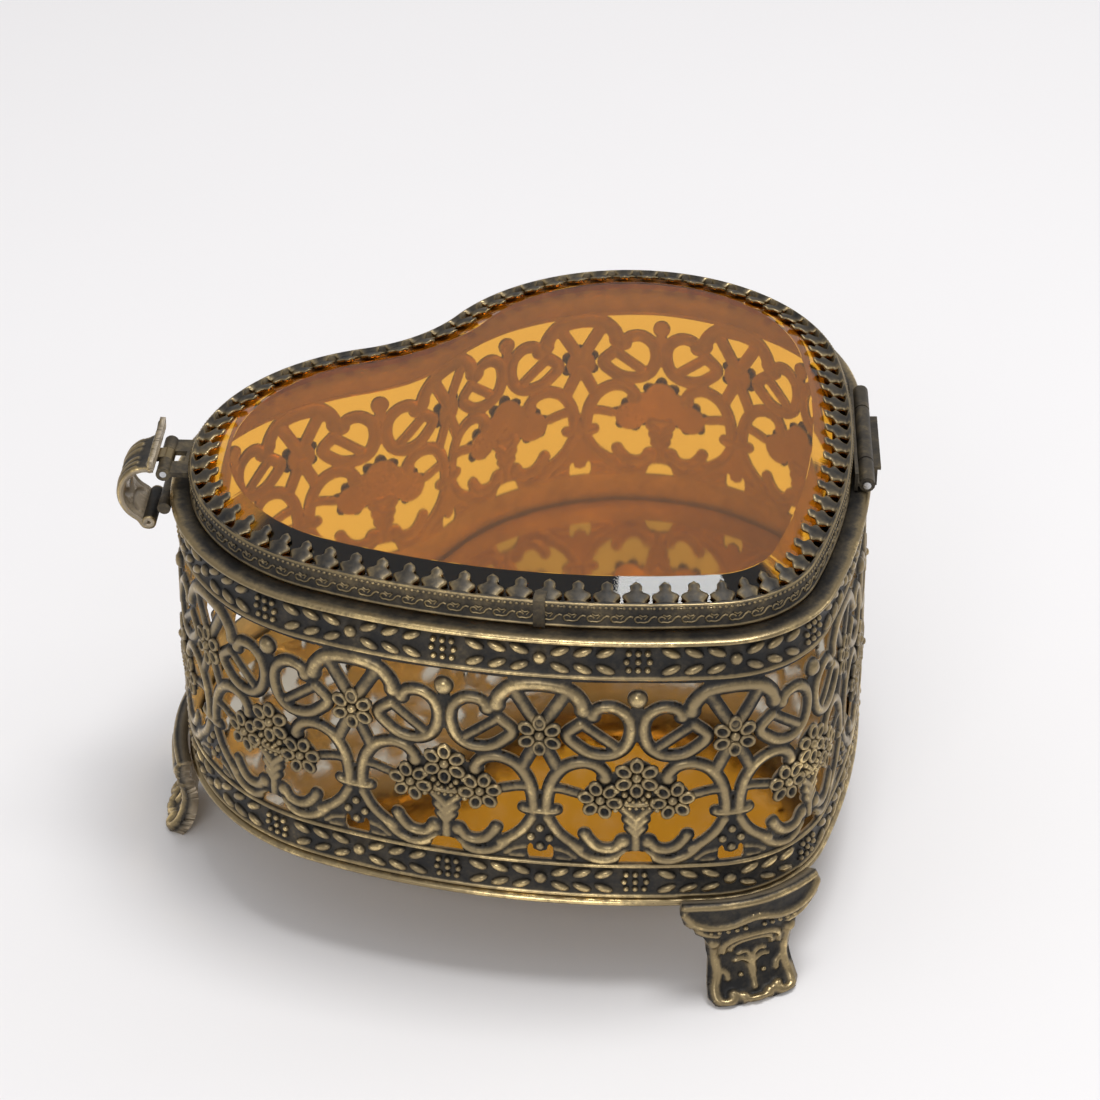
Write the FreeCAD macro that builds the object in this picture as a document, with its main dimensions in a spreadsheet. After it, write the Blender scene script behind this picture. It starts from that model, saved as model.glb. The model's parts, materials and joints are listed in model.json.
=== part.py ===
# A heart-shaped filigree casket with a bevelled glass lid, a hinged hasp and,
# hung under its floor, a small wind-up music movement.  Millimetres, +Z up.
#
# The plan is a heart of tangent arcs, symmetric about x = 0: the point is at
# -Y and the cleft at +Y.  Every ring of the casket is that heart, moved in or
# out by an offset, so one set of radii drives all that fits together.
import FreeCAD, Part
import math
import os

Vector = FreeCAD.Vector
Rotation = FreeCAD.Rotation
Placement = FreeCAD.Placement

SIZES = [
    # the plan of the wall's outer face
    ("lobe_spacing", 21.0, "half the distance between the lobe centres"),
    ("lobe_radius", 36.0, "outer radius of each lobe"),
    ("cleft_radius", 22.4, "radius of the hollow between the lobes"),
    ("side_radius", 123.5, "radius of the long sides"),
    ("point_radius", 19.3, "radius of the point"),
    ("heart_length", 100.5, "from the top of the lobes to the point"),
    # the case
    ("foot_height", 16.4, "table to the underside of the base rail"),
    ("base_rail_height", 1.2, "height of the base rail"),
    ("rail_proud", 0.5, "how far the rails stand out from the wall"),
    ("base_rail_width", 4.0, "how far the base rail reaches in"),
    ("wall_height", 45.0, "height of the filigree strip"),
    ("wall_thickness", 0.8, "thickness of the filigree strip"),
    ("top_rail_height", 1.6, "height of the rounded top rail"),
    ("top_rail_width", 2.3, "how far the top rail reaches in"),
    ("pan_thickness", 0.6, "thickness of the base pan"),
    ("mirror_thickness", 1.4, "thickness of the floor plate"),
    ("floor_clearance", 0.3, "gap between the floor plates and the wall"),
    ("repeat_count", 12.0, "pattern repeats round the wall"),
    ("loop_radius", 3.7, "radius of the openings in the upper row"),
    ("arch_radius", 4.4, "radius of the openings in the lower row"),
    ("loop_level", 24.5, "height of the upper row above the wall's foot"),
    ("arch_level", 12.5, "height of the lower row above the wall's foot"),
    # the feet
    ("foot_width", 12.6, "width of the shield part of a foot"),
    ("foot_bracket_height", 5.6, "height of the bracket that hugs the wall"),
    ("foot_bracket_drop", 3.6, "how far the bracket hangs below the base rail"),
    ("foot_bracket_depth", 2.6, "thickness of the bracket"),
    ("foot_bracket_span", 21.0, "width of the bracket, measured round the wall"),
    ("foot_splay", 5.4, "how far the toe stands out from the wall"),
    ("toe_depth", 3.2, "thickness of the toe where it stands"),
    ("toe_height", 1.8, "height of the toe's front edge"),
    ("toe_lip", 0.3, "how far the toe leans out at that height"),
    ("ankle_waist", 0.4, "how far the leg draws in halfway up, in front"),
    ("ankle_hollow", 0.6, "how far the leg draws in halfway up, behind"),
    ("foot_bearing", 36.5, "bearing of the lobe feet, from the X axis"),
    ("front_foot_bearing", -106.0, "bearing of the foot at the point"),
    # the lid
    ("lid_gap", 0.3, "gap between the top rail and the lid"),
    ("lid_inset", 2.8, "how far the lid band stands in from the wall"),
    ("band_thickness", 0.5, "thickness of the lid band"),
    ("flange_width", 1.7, "width of the flange that holds the glass"),
    ("flange_thickness", 0.5, "thickness of that flange"),
    ("flange_clearance", 0.12, "gap between the flange and the bevel"),
    ("seat_height", 0.9, "height of the ring that the glass rests on"),
    ("seat_width", 3.2, "width of the ring that the glass rests on"),
    ("glass_clearance", 0.2, "gap between the glass and the band"),
    ("glass_edge", 1.8, "thickness of the glass at its edge"),
    ("glass_thickness", 4.0, "thickness of the glass at the middle"),
    ("bevel_width", 5.4, "width of the bevel"),
    ("clip_width", 1.7, "width of the clip over the gallery seam"),
    ("clip_thickness", 0.5, "thickness of the clip"),
    ("clip_bearing", 226.0, "bearing of the clip on the left side"),
    # the lid hinge
    ("hinge_bearing", -39.0, "bearing of the hinge on the right side"),
    ("hinge_clearance", 0.2, "gap between the hinge knuckles and the lid's leaf"),
    ("rail_clearance", 0.15, "gap between the hinge knuckles and the top rail"),
    ("pin_radius", 0.6, "radius of the hinge pin"),
    ("knuckle_radius", 1.2, "outer radius of the hinge knuckles"),
    ("middle_knuckle", 15.0, "length of the middle knuckle"),
    ("end_knuckle", 6.0, "length of each end knuckle"),
    ("knuckle_gap", 0.3, "end play between the knuckles"),
    ("running_fit", 0.05, "radial clearance of a pin in its bore"),
    ("press_fit", 0.02, "radial clearance of a pin that is pressed in"),
    ("hinge_leaf_thickness", 0.5, "thickness of the hinge leaves"),
    ("hinge_leaf_height", 3.0, "height of the lid's hinge leaf"),
    ("solder_gap", 0.02, "film of solder between a leaf and what it is fixed to"),
    ("leaf_drop", 2.6, "how far the case's leaf hangs down the top rail"),
    ("flap_reach", 1.0, "how far the lip of the case's leaf stands out"),
    # the hasp
    ("hasp_bearing", 141.0, "bearing of the hasp on the left lobe"),
    ("hasp_reach", 1.0, "distance of the hasp axis from the wall"),
    ("hasp_level", 2.6, "height of the hasp axis above the top rail"),
    ("hasp_pin_radius", 0.5, "radius of the hasp pin"),
    ("hasp_knuckle_radius", 1.1, "outer radius of the hasp knuckles"),
    ("hasp_width", 9.0, "width of the hasp strap"),
    ("hasp_knuckle_width", 3.4, "length of each lid-side hasp knuckle"),
    ("hasp_root_depth", 0.6, "depth of the bracket's root on the band"),
    ("leaf_thickness", 0.8, "thickness of the bracket's arms and the catch's strap"),
    ("hasp_bow", 5.2, "outer radius of the hasp bow"),
    ("hasp_lead", 0.9, "from the knuckle to the middle of the bow"),
    ("hasp_root_gap", 0.1, "from the knuckle to the start of the strap"),
    ("hasp_thickness", 0.9, "thickness of the hasp strap"),
    ("hasp_roll", 1.1, "radius of the rolled lower end"),
    ("ear_height", 3.4, "how far the ears stand up from the strap"),
    ("ear_width", 13.0, "width over the ears"),
    ("catch_radius", 1.0, "radius of the catch barrel"),
    ("catch_width", 8.0, "length of the catch barrel"),
    ("catch_gap", 0.3, "gap between the catch barrel and the rolled end"),
    ("catch_drop", 0.2, "height of the catch barrel above the rolled end"),
    # the movement: the bedplate and what is fixed to it
    ("movement_shift", 10.0, "movement centre, towards the cleft"),
    ("bedplate_length", 41.0, "length of the bedplate"),
    ("bedplate_width", 28.0, "width of the bedplate"),
    ("bedplate_thickness", 1.2, "thickness of the bedplate"),
    ("screw_inset", 2.4, "movement screws, from the bedplate's edges"),
    ("screw_radius", 0.8, "shank radius of the movement screws"),
    ("screw_head_radius", 1.7, "head radius of the movement screws"),
    ("screw_head_height", 1.1, "head height of the movement screws"),
    ("bracket_thickness", 0.8, "thickness of the bearing brackets"),
    ("bracket_width", 4.0, "width of the bearing brackets"),
    ("bracket_margin", 1.8, "metal below a bearing"),
    # the spring drum and its arbor
    ("drum_offset", -11.0, "drum axis, from the movement centre"),
    ("drum_radius", 7.2, "outer radius of the drum"),
    ("drum_height", 7.6, "height of the drum"),
    ("drum_wall", 0.5, "wall of the drum"),
    ("crown_radius", 8.9, "tip radius of the crown gear"),
    ("crown_thickness", 0.8, "thickness of the crown gear"),
    ("crown_teeth", 44.0, "teeth on the crown gear"),
    ("arbor_radius", 1.2, "radius of the winding arbor"),
    ("spring_strip", 0.28, "thickness of the mainspring strip"),
    ("spring_turns", 7.0, "turns of the mainspring"),
    ("end_play", 0.4, "axial gap between neighbouring movement parts"),
    ("bridge_width", 6.0, "width of the drum bridge"),
    ("bridge_thickness", 1.0, "thickness of the drum bridge"),
    ("bridge_post_radius", 1.4, "radius of the posts of the drum bridge"),
    ("key_height", 4.2, "height of the key's wings"),
    ("key_span", 14.0, "width over the key's wings"),
    ("key_thickness", 1.1, "thickness of the key's wings"),
    ("key_hub_radius", 2.2, "radius of the key's hub"),
    ("key_floor", 0.9, "gap between the key and the table"),
    # the cylinder and the comb
    ("cylinder_radius", 3.2, "radius of the pinned cylinder"),
    ("cylinder_length", 15.0, "length of the pinned cylinder"),
    ("cylinder_arbor_radius", 0.7, "radius of the cylinder arbor"),
    ("gear_radius", 3.6, "tip radius of the cylinder gears"),
    ("gear_thickness", 0.8, "thickness of the cylinder gears"),
    ("gear_teeth", 18.0, "teeth on the cylinder gears"),
    ("tooth_depth", 0.5, "depth of the gear teeth"),
    ("fine_tooth_depth", 0.3, "depth of the governor teeth"),
    ("mesh_gap", 0.1, "gap between the tip circles of two gears"),
    ("comb_thickness", 0.6, "thickness of the comb's teeth"),
    ("comb_heel", 1.4, "thickness of the comb's heel"),
    ("comb_reach", 8.6, "length of the comb"),
    ("comb_heel_depth", 3.6, "depth of the comb's heel"),
    ("comb_gap", 0.7, "gap between the cylinder and the comb"),
    ("comb_teeth", 18.0, "number of comb teeth"),
    ("comb_slot", 0.2, "width of the slots in the comb"),
    ("slot_margin", 0.4, "metal left between the slots and the comb's heel"),
    ("comb_screw_radius", 0.7, "shank radius of the comb screws"),
    ("comb_screw_head", 1.3, "head radius of the comb screws"),
    ("comb_screw_inset", 3.6, "comb screw, from the end of the comb"),
    # the governor
    ("pinion_radius", 1.3, "tip radius of the governor pinion"),
    ("pinion_teeth", 9.0, "teeth on the governor pinion"),
    ("wheel_radius", 3.4, "tip radius of the governor wheel"),
    ("wheel_thickness", 0.6, "thickness of the governor wheel"),
    ("wheel_teeth", 30.0, "teeth on the governor wheel"),
    ("wheel_arbor_radius", 0.45, "radius of the governor arbor"),
    ("worm_radius", 0.7, "radius of the worm"),
    ("worm_length", 4.4, "length of the worm"),
    ("fly_shaft_radius", 0.4, "radius of the fly shaft"),
    ("fly_radius", 2.8, "sweep radius of the fly"),
    ("fly_height", 2.8, "height of the fly's blades"),
    ("fly_blade", 0.4, "thickness of the fly's blades"),
    ("fly_bracket_width", 3.0, "width of the arm that holds the fly"),
    ("lever_length", 7.0, "stop lever, from its pivot to the fly shaft"),
    ("lever_thickness", 0.8, "thickness of the stop lever"),
    ("lever_width", 2.2, "width of the stop lever"),
    ("lever_handle", 7.5, "length of the stop lever's handle"),
    ("lever_pivot_radius", 0.8, "radius of the lever pivot"),
    ("lever_clearance", 0.3, "gap that is left between the lever and the fly shaft"),
    ("lever_swing", 16.0, "swing of the stop lever, in degrees"),
]

doc = FreeCAD.newDocument("heart_casket")
sheet = doc.addObject("Spreadsheet::Sheet", "dims")
for row, (alias, number, meaning) in enumerate(SIZES, start=1):
    sheet.set(f"A{row}", meaning)
    sheet.set(f"B{row}", str(number))
    sheet.setAlias(f"B{row}", alias)
doc.recompute()


def size(alias):
    """A driving size, read from the sheet."""
    return float(sheet.get(alias))


pieces = []


def keep(thing, label):
    """Name a finished sub-part and list it for the file that it goes to."""
    thing.Label = label
    pieces.append(thing)
    return thing


# ---------------------------------------------------------------- levels
RAIL_FOOT = size("foot_height")
WALL_FOOT = RAIL_FOOT + size("base_rail_height")
WALL_TOP = WALL_FOOT + size("wall_height")
RAIL_TOP = WALL_TOP + size("top_rail_height")
MIRROR_FOOT = WALL_FOOT + size("pan_thickness")
LID_FOOT = RAIL_TOP + size("lid_gap")
GLASS_FOOT = LID_FOOT + size("seat_height")

# the band is as tall as the seat, the glass under its flange and the flange need
BEVEL_RISE = ("(dims.glass_thickness - dims.glass_edge) * (dims.flange_width - dims.glass_clearance)"
              " / dims.bevel_width")
FLANGE_LEVEL = "dims.seat_height + dims.glass_edge + " + BEVEL_RISE + " + dims.flange_clearance"
BAND_HEIGHT = FLANGE_LEVEL + " + dims.flange_thickness"


def flange_level():
    """Height of the flange's underside above the band's foot."""
    slope = (size("glass_thickness") - size("glass_edge")) / size("bevel_width")
    rise = slope * (size("flange_width") - size("glass_clearance"))
    return size("seat_height") + size("glass_edge") + rise + size("flange_clearance")


# ---------------------------------------------------------------- the heart plan
def heart_centres():
    """Centres of the cleft, lobe, side and point arcs of the right half."""
    spacing = size("lobe_spacing")
    lobe = size("lobe_radius")
    side = size("side_radius")
    point = size("point_radius")
    tip = lobe - size("heart_length")
    lobe_centre = Vector(spacing, 0, 0)
    cleft_centre = Vector(0, math.sqrt((size("cleft_radius") + lobe) ** 2 - spacing ** 2), 0)
    point_centre = Vector(0, tip + point, 0)
    # the side arc is tangent inside to the lobe and to the point
    to_point = point_centre - lobe_centre
    span = to_point.Length
    lobe_reach = side - lobe
    point_reach = side - point
    along = (lobe_reach ** 2 - point_reach ** 2 + span ** 2) / (2 * span)
    across = math.sqrt(lobe_reach ** 2 - along ** 2)
    to_point.normalize()
    sideways = Vector(to_point.y, -to_point.x, 0)
    side_centre = lobe_centre + to_point * along + sideways * across
    middle = Vector(0, -(lobe + tip) / 2, 0)
    return [centre + middle for centre in (cleft_centre, lobe_centre, side_centre, point_centre)]


CLEFT, LOBE, SIDE, POINT = heart_centres()


def bearing(start, end):
    """Angle of the line from start to end, in radians."""
    return math.atan2(end.y - start.y, end.x - start.x)


def heart_arcs(offset):
    """The heart moved outwards by offset, as six tangent arcs."""
    up = Vector(0, 0, 1)
    lobe_to_side = bearing(SIDE, LOBE)
    side_to_point = bearing(SIDE, POINT)
    cleft_right = bearing(CLEFT, LOBE)
    lobe_start = bearing(LOBE, CLEFT)
    turn = math.pi

    def arc(centre, radius, start, end):
        return Part.ArcOfCircle(Part.Circle(centre, up, radius), start, end)

    def mirrored(centre):
        return Vector(-centre.x, centre.y, 0)

    lobe = size("lobe_radius") + offset
    side = size("side_radius") + offset
    point = size("point_radius") + offset
    cleft = size("cleft_radius") - offset
    return [
        arc(CLEFT, cleft, -turn - cleft_right, cleft_right),
        arc(LOBE, lobe, lobe_to_side, lobe_start),
        arc(SIDE, side, side_to_point, lobe_to_side),
        arc(POINT, point, -turn - side_to_point, side_to_point),
        arc(mirrored(SIDE), side, turn - lobe_to_side, turn - side_to_point),
        arc(mirrored(LOBE), lobe, turn - lobe_start, turn - lobe_to_side),
    ]


def heart_wire(offset):
    """The same six arcs as a closed wire, from the point round to the right."""
    cleft, lobe, side, point, left_side, left_lobe = heart_arcs(offset)
    order = [point, side, lobe, cleft, left_lobe, left_side]
    return Part.Wire(Part.__sortEdges__([curve.toShape() for curve in order]))


def frame_at(centre, radius, degrees, level):
    """A frame on an arc: local Y points outwards and local Z points up."""
    angle = math.radians(degrees)
    base = Vector(centre.x + radius * math.cos(angle), centre.y + radius * math.sin(angle), level)
    return Placement(base, Rotation(Vector(0, 0, 1), degrees - 90))


# ---------------------------------------------------------------- makers
def new_body(name):
    return doc.addObject("PartDesign::Body", name)


def new_sketch(body, name, plane="XY_Plane"):
    """A sketch on one of the body's own origin planes."""
    sketch = body.newObject("Sketcher::SketchObject", name)
    support = [face for face in body.Origin.OriginFeatures if face.Role == plane][0]
    sketch.AttachmentSupport = [(support, "")]
    sketch.MapMode = "FlatFace"
    return sketch


def draw(sketch, curves):
    for curve in curves:
        sketch.addGeometry(curve, False)


def polygon(corners):
    """Straight edges through a closed list of corners."""
    points = [Vector(x, y, 0) for x, y in corners]
    return [Part.LineSegment(start, end) for start, end in zip(points, points[1:] + points[:1])]


def rectangle(left, low, right, high):
    return polygon([(left, low), (right, low), (right, high), (left, high)])


def circle(x, y, radius):
    return [Part.Circle(Vector(x, y, 0), Vector(0, 0, 1), radius)]


def pad(body, sketch, length, symmetric=False):
    """Pad a sketch by a length that is bound to the sheet."""
    feature = body.newObject("PartDesign::Pad", sketch.Name + "_pad")
    feature.Profile = sketch
    feature.setExpression("Length", length)
    if symmetric:
        feature.SideType = "Symmetric"
    sketch.Visibility = False
    return feature


def heart_ring(label, outer, inner, height, level):
    """A flat ring between two offsets of the heart."""
    body = new_body(label)
    sketch = new_sketch(body, label + "_plan")
    draw(sketch, heart_arcs(outer))
    if inner is not None:
        draw(sketch, heart_arcs(inner))
    pad(body, sketch, height)
    body.Placement = Placement(Vector(0, 0, level), Rotation())
    return body


def cylinder(name, radius, length, place):
    thing = doc.addObject("Part::Cylinder", name)
    thing.setExpression("Radius", radius)
    thing.setExpression("Height", length)
    thing.Placement = place
    return thing


def box(name, length, width, height, corner):
    """A block; its place is the corner with the lowest x, y and z."""
    thing = doc.addObject("Part::Box", name)
    thing.setExpression("Length", length)
    thing.setExpression("Width", width)
    thing.setExpression("Height", height)
    thing.Placement = Placement(Vector(*corner), Rotation())
    return thing


def fuse(name, shapes):
    thing = doc.addObject("Part::MultiFuse", name)
    thing.Shapes = shapes
    return thing


def cut(name, base, tools):
    """Base less the tools; two or more tools go in as one compound."""
    thing = doc.addObject("Part::Cut", name)
    thing.Base = base
    tool = tools[0]
    if len(tools) > 1:
        tool = doc.addObject("Part::Compound", name + "_tools")
        tool.Links = tools
    thing.Tool = tool
    return thing


def upright(x, y, z):
    """A placement whose Z axis stays vertical."""
    return Placement(Vector(x, y, z), Rotation())


def along_x(x, y, z):
    """A placement that lays a cylinder along +X."""
    return Placement(Vector(x, y, z), Rotation(Vector(0, 1, 0), 90))


# ---------------------------------------------------------------- the case
def base_rail():
    """The rabbet ring that carries the wall and the floor."""
    inner = size("rail_proud") - size("base_rail_width")
    keep(heart_ring("base_rail", size("rail_proud"), inner, "dims.base_rail_height", RAIL_FOOT), "base_rail")


def filigree_wall():
    """The pierced strip, with a round opening for each loop and arch of the pattern."""
    strip = heart_ring("wall_strip", 0, -size("wall_thickness"), "dims.wall_height", WALL_FOOT)
    wire = heart_wire(0)
    repeats = int(size("repeat_count"))
    rows = [
        ("loop", size("loop_level"), "dims.loop_radius"),
        ("arch", size("arch_level"), "dims.arch_radius"),
    ]
    openings = []
    stations = wire.discretize(Number=4 * repeats + 1)
    for index in range(2 * repeats):
        before, here, after = stations[2 * index], stations[2 * index + 1], stations[2 * index + 2]
        outwards = (after - before).cross(Vector(0, 0, 1))
        turn = Rotation(Vector(0, 0, 1), outwards)
        for name, level, radius in rows:
            place = Placement(here + Vector(0, 0, WALL_FOOT + level), turn)
            start = place.multiply(Placement(Vector(0, 0, -2 * size("wall_thickness")), Rotation()))
            openings.append(cylinder(f"{name}_opening_{index}", radius, "4 * dims.wall_thickness", start))
    keep(cut("filigree_wall_cut", strip, openings), "filigree_wall")


def top_rail():
    """The rounded rail on the wall's top edge."""
    inner = size("rail_proud") - size("top_rail_width")
    body = heart_ring("top_rail", size("rail_proud"), inner, "dims.top_rail_height", WALL_TOP)
    keep(body, "top_rail")


def screw_places():
    """Where the movement screws go, from the movement's centre."""
    reach = size("bedplate_length") / 2 - size("screw_inset")
    depth = size("bedplate_width") / 2 - size("screw_inset")
    return [(-reach, depth), (reach, depth), (reach, -depth)]


def base_pan():
    """The thin pan that closes the underside and carries the movement."""
    offset = -size("wall_thickness") - size("floor_clearance")
    body = heart_ring("base_pan", offset, None, "dims.pan_thickness", WALL_FOOT)
    holes = new_sketch(body, "base_pan_holes")
    for x, y in screw_places():
        radius = size("screw_radius") + size("running_fit")
        draw(holes, circle(x, y + size("movement_shift"), radius))
    pocket = body.newObject("PartDesign::Pocket", "base_pan_pocket")
    pocket.Profile = holes
    pocket.setExpression("Length", "dims.pan_thickness")
    pocket.Reversed = True
    keep(body, "base_pan")


def floor_mirror():
    """The polished plate that makes the floor of the casket."""
    offset = -size("wall_thickness") - size("floor_clearance")
    keep(heart_ring("floor_mirror", offset, None, "dims.mirror_thickness", MIRROR_FOOT), "floor_mirror")


def foot(label, centre, radius, degrees):
    """A cast foot: a splayed S-shaped leg under a bracket that hugs the base rail."""
    proud = size("rail_proud")
    toe = size("foot_splay")
    low = size("foot_height") - size("foot_bracket_drop")
    front = proud + size("foot_bracket_depth")

    leg = new_body(label + "_leg")
    profile = new_sketch(leg, label + "_profile", "YZ_Plane")
    outer_heel = Vector(toe, 0, 0)
    outer_toe = Vector(toe + size("toe_lip"), size("toe_height"), 0)
    outer_ankle = Vector(front - size("ankle_waist"), low / 2, 0)
    outer_top = Vector(front, low, 0)
    inner_top = Vector(proud, low, 0)
    inner_ankle = Vector(proud - size("ankle_hollow"), low / 2, 0)
    inner_heel = Vector(toe - size("toe_depth"), 0, 0)
    draw(profile, [
        Part.LineSegment(inner_heel, outer_heel),
        Part.LineSegment(outer_heel, outer_toe),
        Part.Arc(outer_toe, outer_ankle, outer_top),
        Part.LineSegment(outer_top, inner_top),
        Part.Arc(inner_top, inner_ankle, inner_heel),
    ])
    pad(leg, profile, "dims.foot_width", symmetric=True)
    leg.Placement = frame_at(centre, radius, degrees, 0)

    # the bracket is the part of a ring round the rail that lies over the leg
    ring = heart_ring(label + "_ring", front, proud, "dims.foot_bracket_height", low)
    reach = size("foot_bracket_span")
    window = doc.addObject("Part::Box", label + "_window")
    window.setExpression("Length", "dims.foot_bracket_span")
    window.setExpression("Width", "dims.foot_bracket_span")
    window.setExpression("Height", "dims.foot_bracket_height")
    corner = Placement(Vector(-reach / 2, -reach / 2, low), Rotation())
    window.Placement = frame_at(centre, radius, degrees, 0).multiply(corner)
    bracket = doc.addObject("Part::Common", label + "_bracket")
    bracket.Base = ring
    bracket.Tool = window
    keep(fuse(label + "_body", [leg, bracket]), label)


def feet():
    lobe = size("lobe_radius")
    mirrored = Vector(-LOBE.x, LOBE.y, 0)
    foot("front_foot", POINT, size("point_radius"), size("front_foot_bearing"))
    foot("left_foot", mirrored, lobe, 180 - size("foot_bearing"))
    foot("right_foot", LOBE, lobe, size("foot_bearing"))


# ---------------------------------------------------------------- the lid
def lid_band():
    """The gallery strip: an upright band with a flange that holds the glass down."""
    body = new_body("gallery_band")
    outer = -size("lid_inset")
    upright_part = new_sketch(body, "band_plan")
    draw(upright_part, heart_arcs(outer))
    draw(upright_part, heart_arcs(outer - size("band_thickness")))
    pad(body, upright_part, BAND_HEIGHT)
    flange = new_sketch(body, "flange_plan")
    draw(flange, heart_arcs(outer))
    draw(flange, heart_arcs(outer - size("band_thickness") - size("flange_width")))
    flange.AttachmentOffset = Placement(Vector(0, 0, flange_level()), Rotation())
    pad(body, flange, "dims.flange_thickness")
    body.Placement = upright(0, 0, LID_FOOT)
    keep(body, "gallery_band")


def lid_seat():
    """The ring inside the band that the glass rests on."""
    outer = -size("lid_inset") - size("band_thickness")
    seat = heart_ring("lid_seat_ring", outer, outer - size("seat_width"), "dims.seat_height", LID_FOOT)
    keep(seat, "lid_seat_ring")


def lid_glass():
    """The glass: a flat plate whose top slopes down to a thin edge all round."""
    body = new_body("lid_glass")
    edge = -size("lid_inset") - size("band_thickness") - size("glass_clearance")
    plan = new_sketch(body, "glass_plan")
    draw(plan, heart_arcs(edge))
    pad(body, plan, "dims.glass_edge")
    foot_of_bevel = new_sketch(body, "bevel_foot")
    draw(foot_of_bevel, heart_arcs(edge))
    foot_of_bevel.AttachmentOffset = Placement(Vector(0, 0, size("glass_edge")), Rotation())
    head_of_bevel = new_sketch(body, "bevel_head")
    draw(head_of_bevel, heart_arcs(edge - size("bevel_width")))
    head_of_bevel.AttachmentOffset = Placement(Vector(0, 0, size("glass_thickness")), Rotation())
    bevel = body.newObject("PartDesign::AdditiveLoft", "bevel")
    bevel.Profile = foot_of_bevel
    bevel.Sections = [head_of_bevel]
    bevel.Ruled = True
    body.Placement = upright(0, 0, GLASS_FOOT)
    keep(body, "lid_glass")


def gallery_clip():
    """The folded clip that closes the seam of the gallery band."""
    body = new_body("gallery_clip")
    thick = size("clip_thickness")
    height = flange_level() + size("flange_thickness")
    over = size("band_thickness") + size("flange_width")
    section = new_sketch(body, "clip_section", "YZ_Plane")
    draw(section, polygon([
        (0, 0), (thick, 0), (thick, height + thick),
        (-over, height + thick), (-over, height), (0, height),
    ]))
    pad(body, section, "dims.clip_width", symmetric=True)
    # the back of the clip is flat, so it stands off the curved band by the arc's rise
    radius = size("side_radius") - size("lid_inset")
    rise = radius - math.sqrt(radius ** 2 - (size("clip_width") / 2) ** 2)
    mirrored = Vector(-SIDE.x, SIDE.y, 0)
    body.Placement = frame_at(mirrored, radius + rise, size("clip_bearing"), LID_FOOT)
    keep(body, "gallery_clip")


# ---------------------------------------------------------------- the lid hinge
# the lid's leaf stands against the band; the knuckles clear that leaf and the top rail
LEAF_BACK = size("solder_gap") - size("lid_inset")
LEAF_FACE = LEAF_BACK + size("hinge_leaf_thickness")
HINGE_REACH = LEAF_FACE + size("hinge_clearance") + size("knuckle_radius")
HINGE_LEVEL = size("rail_clearance") + size("knuckle_radius")
HINGE_FRAME = frame_at(SIDE, size("side_radius"), size("hinge_bearing"), RAIL_TOP)
HINGE_RUN = "dims.middle_knuckle + 2 * dims.end_knuckle + 2 * dims.knuckle_gap"


def hinge_knuckle(name, start, length):
    """A knuckle on the hinge axis, from start along local X, before it is bored."""
    place = along_x(start, HINGE_REACH, HINGE_LEVEL)
    return cylinder(name, "dims.knuckle_radius", length, place)


def hinge_bore(name, start, length, fit):
    place = along_x(start, HINGE_REACH, HINGE_LEVEL)
    return cylinder(name, "dims.pin_radius + " + fit, length, place)


def on_hinge(thing):
    thing.Placement = HINGE_FRAME
    return thing


def lid_hinge_leaf():
    """Two end knuckles on tongues of a leaf that stands against the lid band."""
    middle, end, gap = size("middle_knuckle"), size("end_knuckle"), size("knuckle_gap")
    half = middle / 2 + gap + end
    low = HINGE_LEVEL - size("hinge_leaf_thickness") / 2
    pieces = [box("lid_leaf_plate", HINGE_RUN, "dims.hinge_leaf_thickness", "dims.hinge_leaf_height",
                  (-half, LEAF_BACK, size("lid_gap")))]
    for name, start in (("left", -half), ("right", middle / 2 + gap)):
        pieces.append(hinge_knuckle(name + "_knuckle", start, "dims.end_knuckle"))
        pieces.append(box(name + "_tongue", "dims.end_knuckle", f"{HINGE_REACH - LEAF_BACK}",
                          "dims.hinge_leaf_thickness", (start, LEAF_BACK, low)))
    whole = fuse("lid_leaf_body", pieces)
    bore = hinge_bore("lid_leaf_bore", -half, HINGE_RUN, "dims.running_fit")
    keep(on_hinge(cut("lid_leaf_cut", whole, [bore])), "lid_hinge_leaf")


def case_hinge_leaf():
    """The middle knuckle and its leaf, which crosses the top rail and hangs down outside it."""
    start = -size("middle_knuckle") / 2
    knuckle = hinge_knuckle("case_knuckle", start, "dims.middle_knuckle")
    back = size("rail_proud") + size("solder_gap")
    web = box("case_leaf_web", "dims.middle_knuckle", f"{back + size('flap_reach') - HINGE_REACH}",
              "dims.hinge_leaf_thickness", (start, HINGE_REACH, size("rail_clearance")))
    leaf = box("case_leaf_plate", "dims.middle_knuckle", "dims.hinge_leaf_thickness",
               "dims.leaf_drop + dims.rail_clearance", (start, back, -size("leaf_drop")))
    whole = fuse("case_leaf_body", [knuckle, web, leaf])
    bore = hinge_bore("case_leaf_bore", start, "dims.middle_knuckle", "dims.press_fit")
    keep(on_hinge(cut("case_leaf_cut", whole, [bore])), "case_hinge_leaf")


def hinge_pin():
    """The pin through the three knuckles, a little longer than the hinge."""
    length = "dims.middle_knuckle + 2 * dims.end_knuckle + 4 * dims.knuckle_gap"
    half = size("middle_knuckle") / 2 + size("end_knuckle") + 2 * size("knuckle_gap")
    pin = cylinder("hinge_pin", "dims.pin_radius", length, Placement())
    start = along_x(-half, HINGE_REACH, HINGE_LEVEL)
    pin.Placement = HINGE_FRAME.multiply(start)
    keep(pin, "hinge_pin")


# ---------------------------------------------------------------- the hasp
HASP_FRAME = frame_at(Vector(-LOBE.x, LOBE.y, 0), size("lobe_radius"), size("hasp_bearing"), RAIL_TOP)


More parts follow.
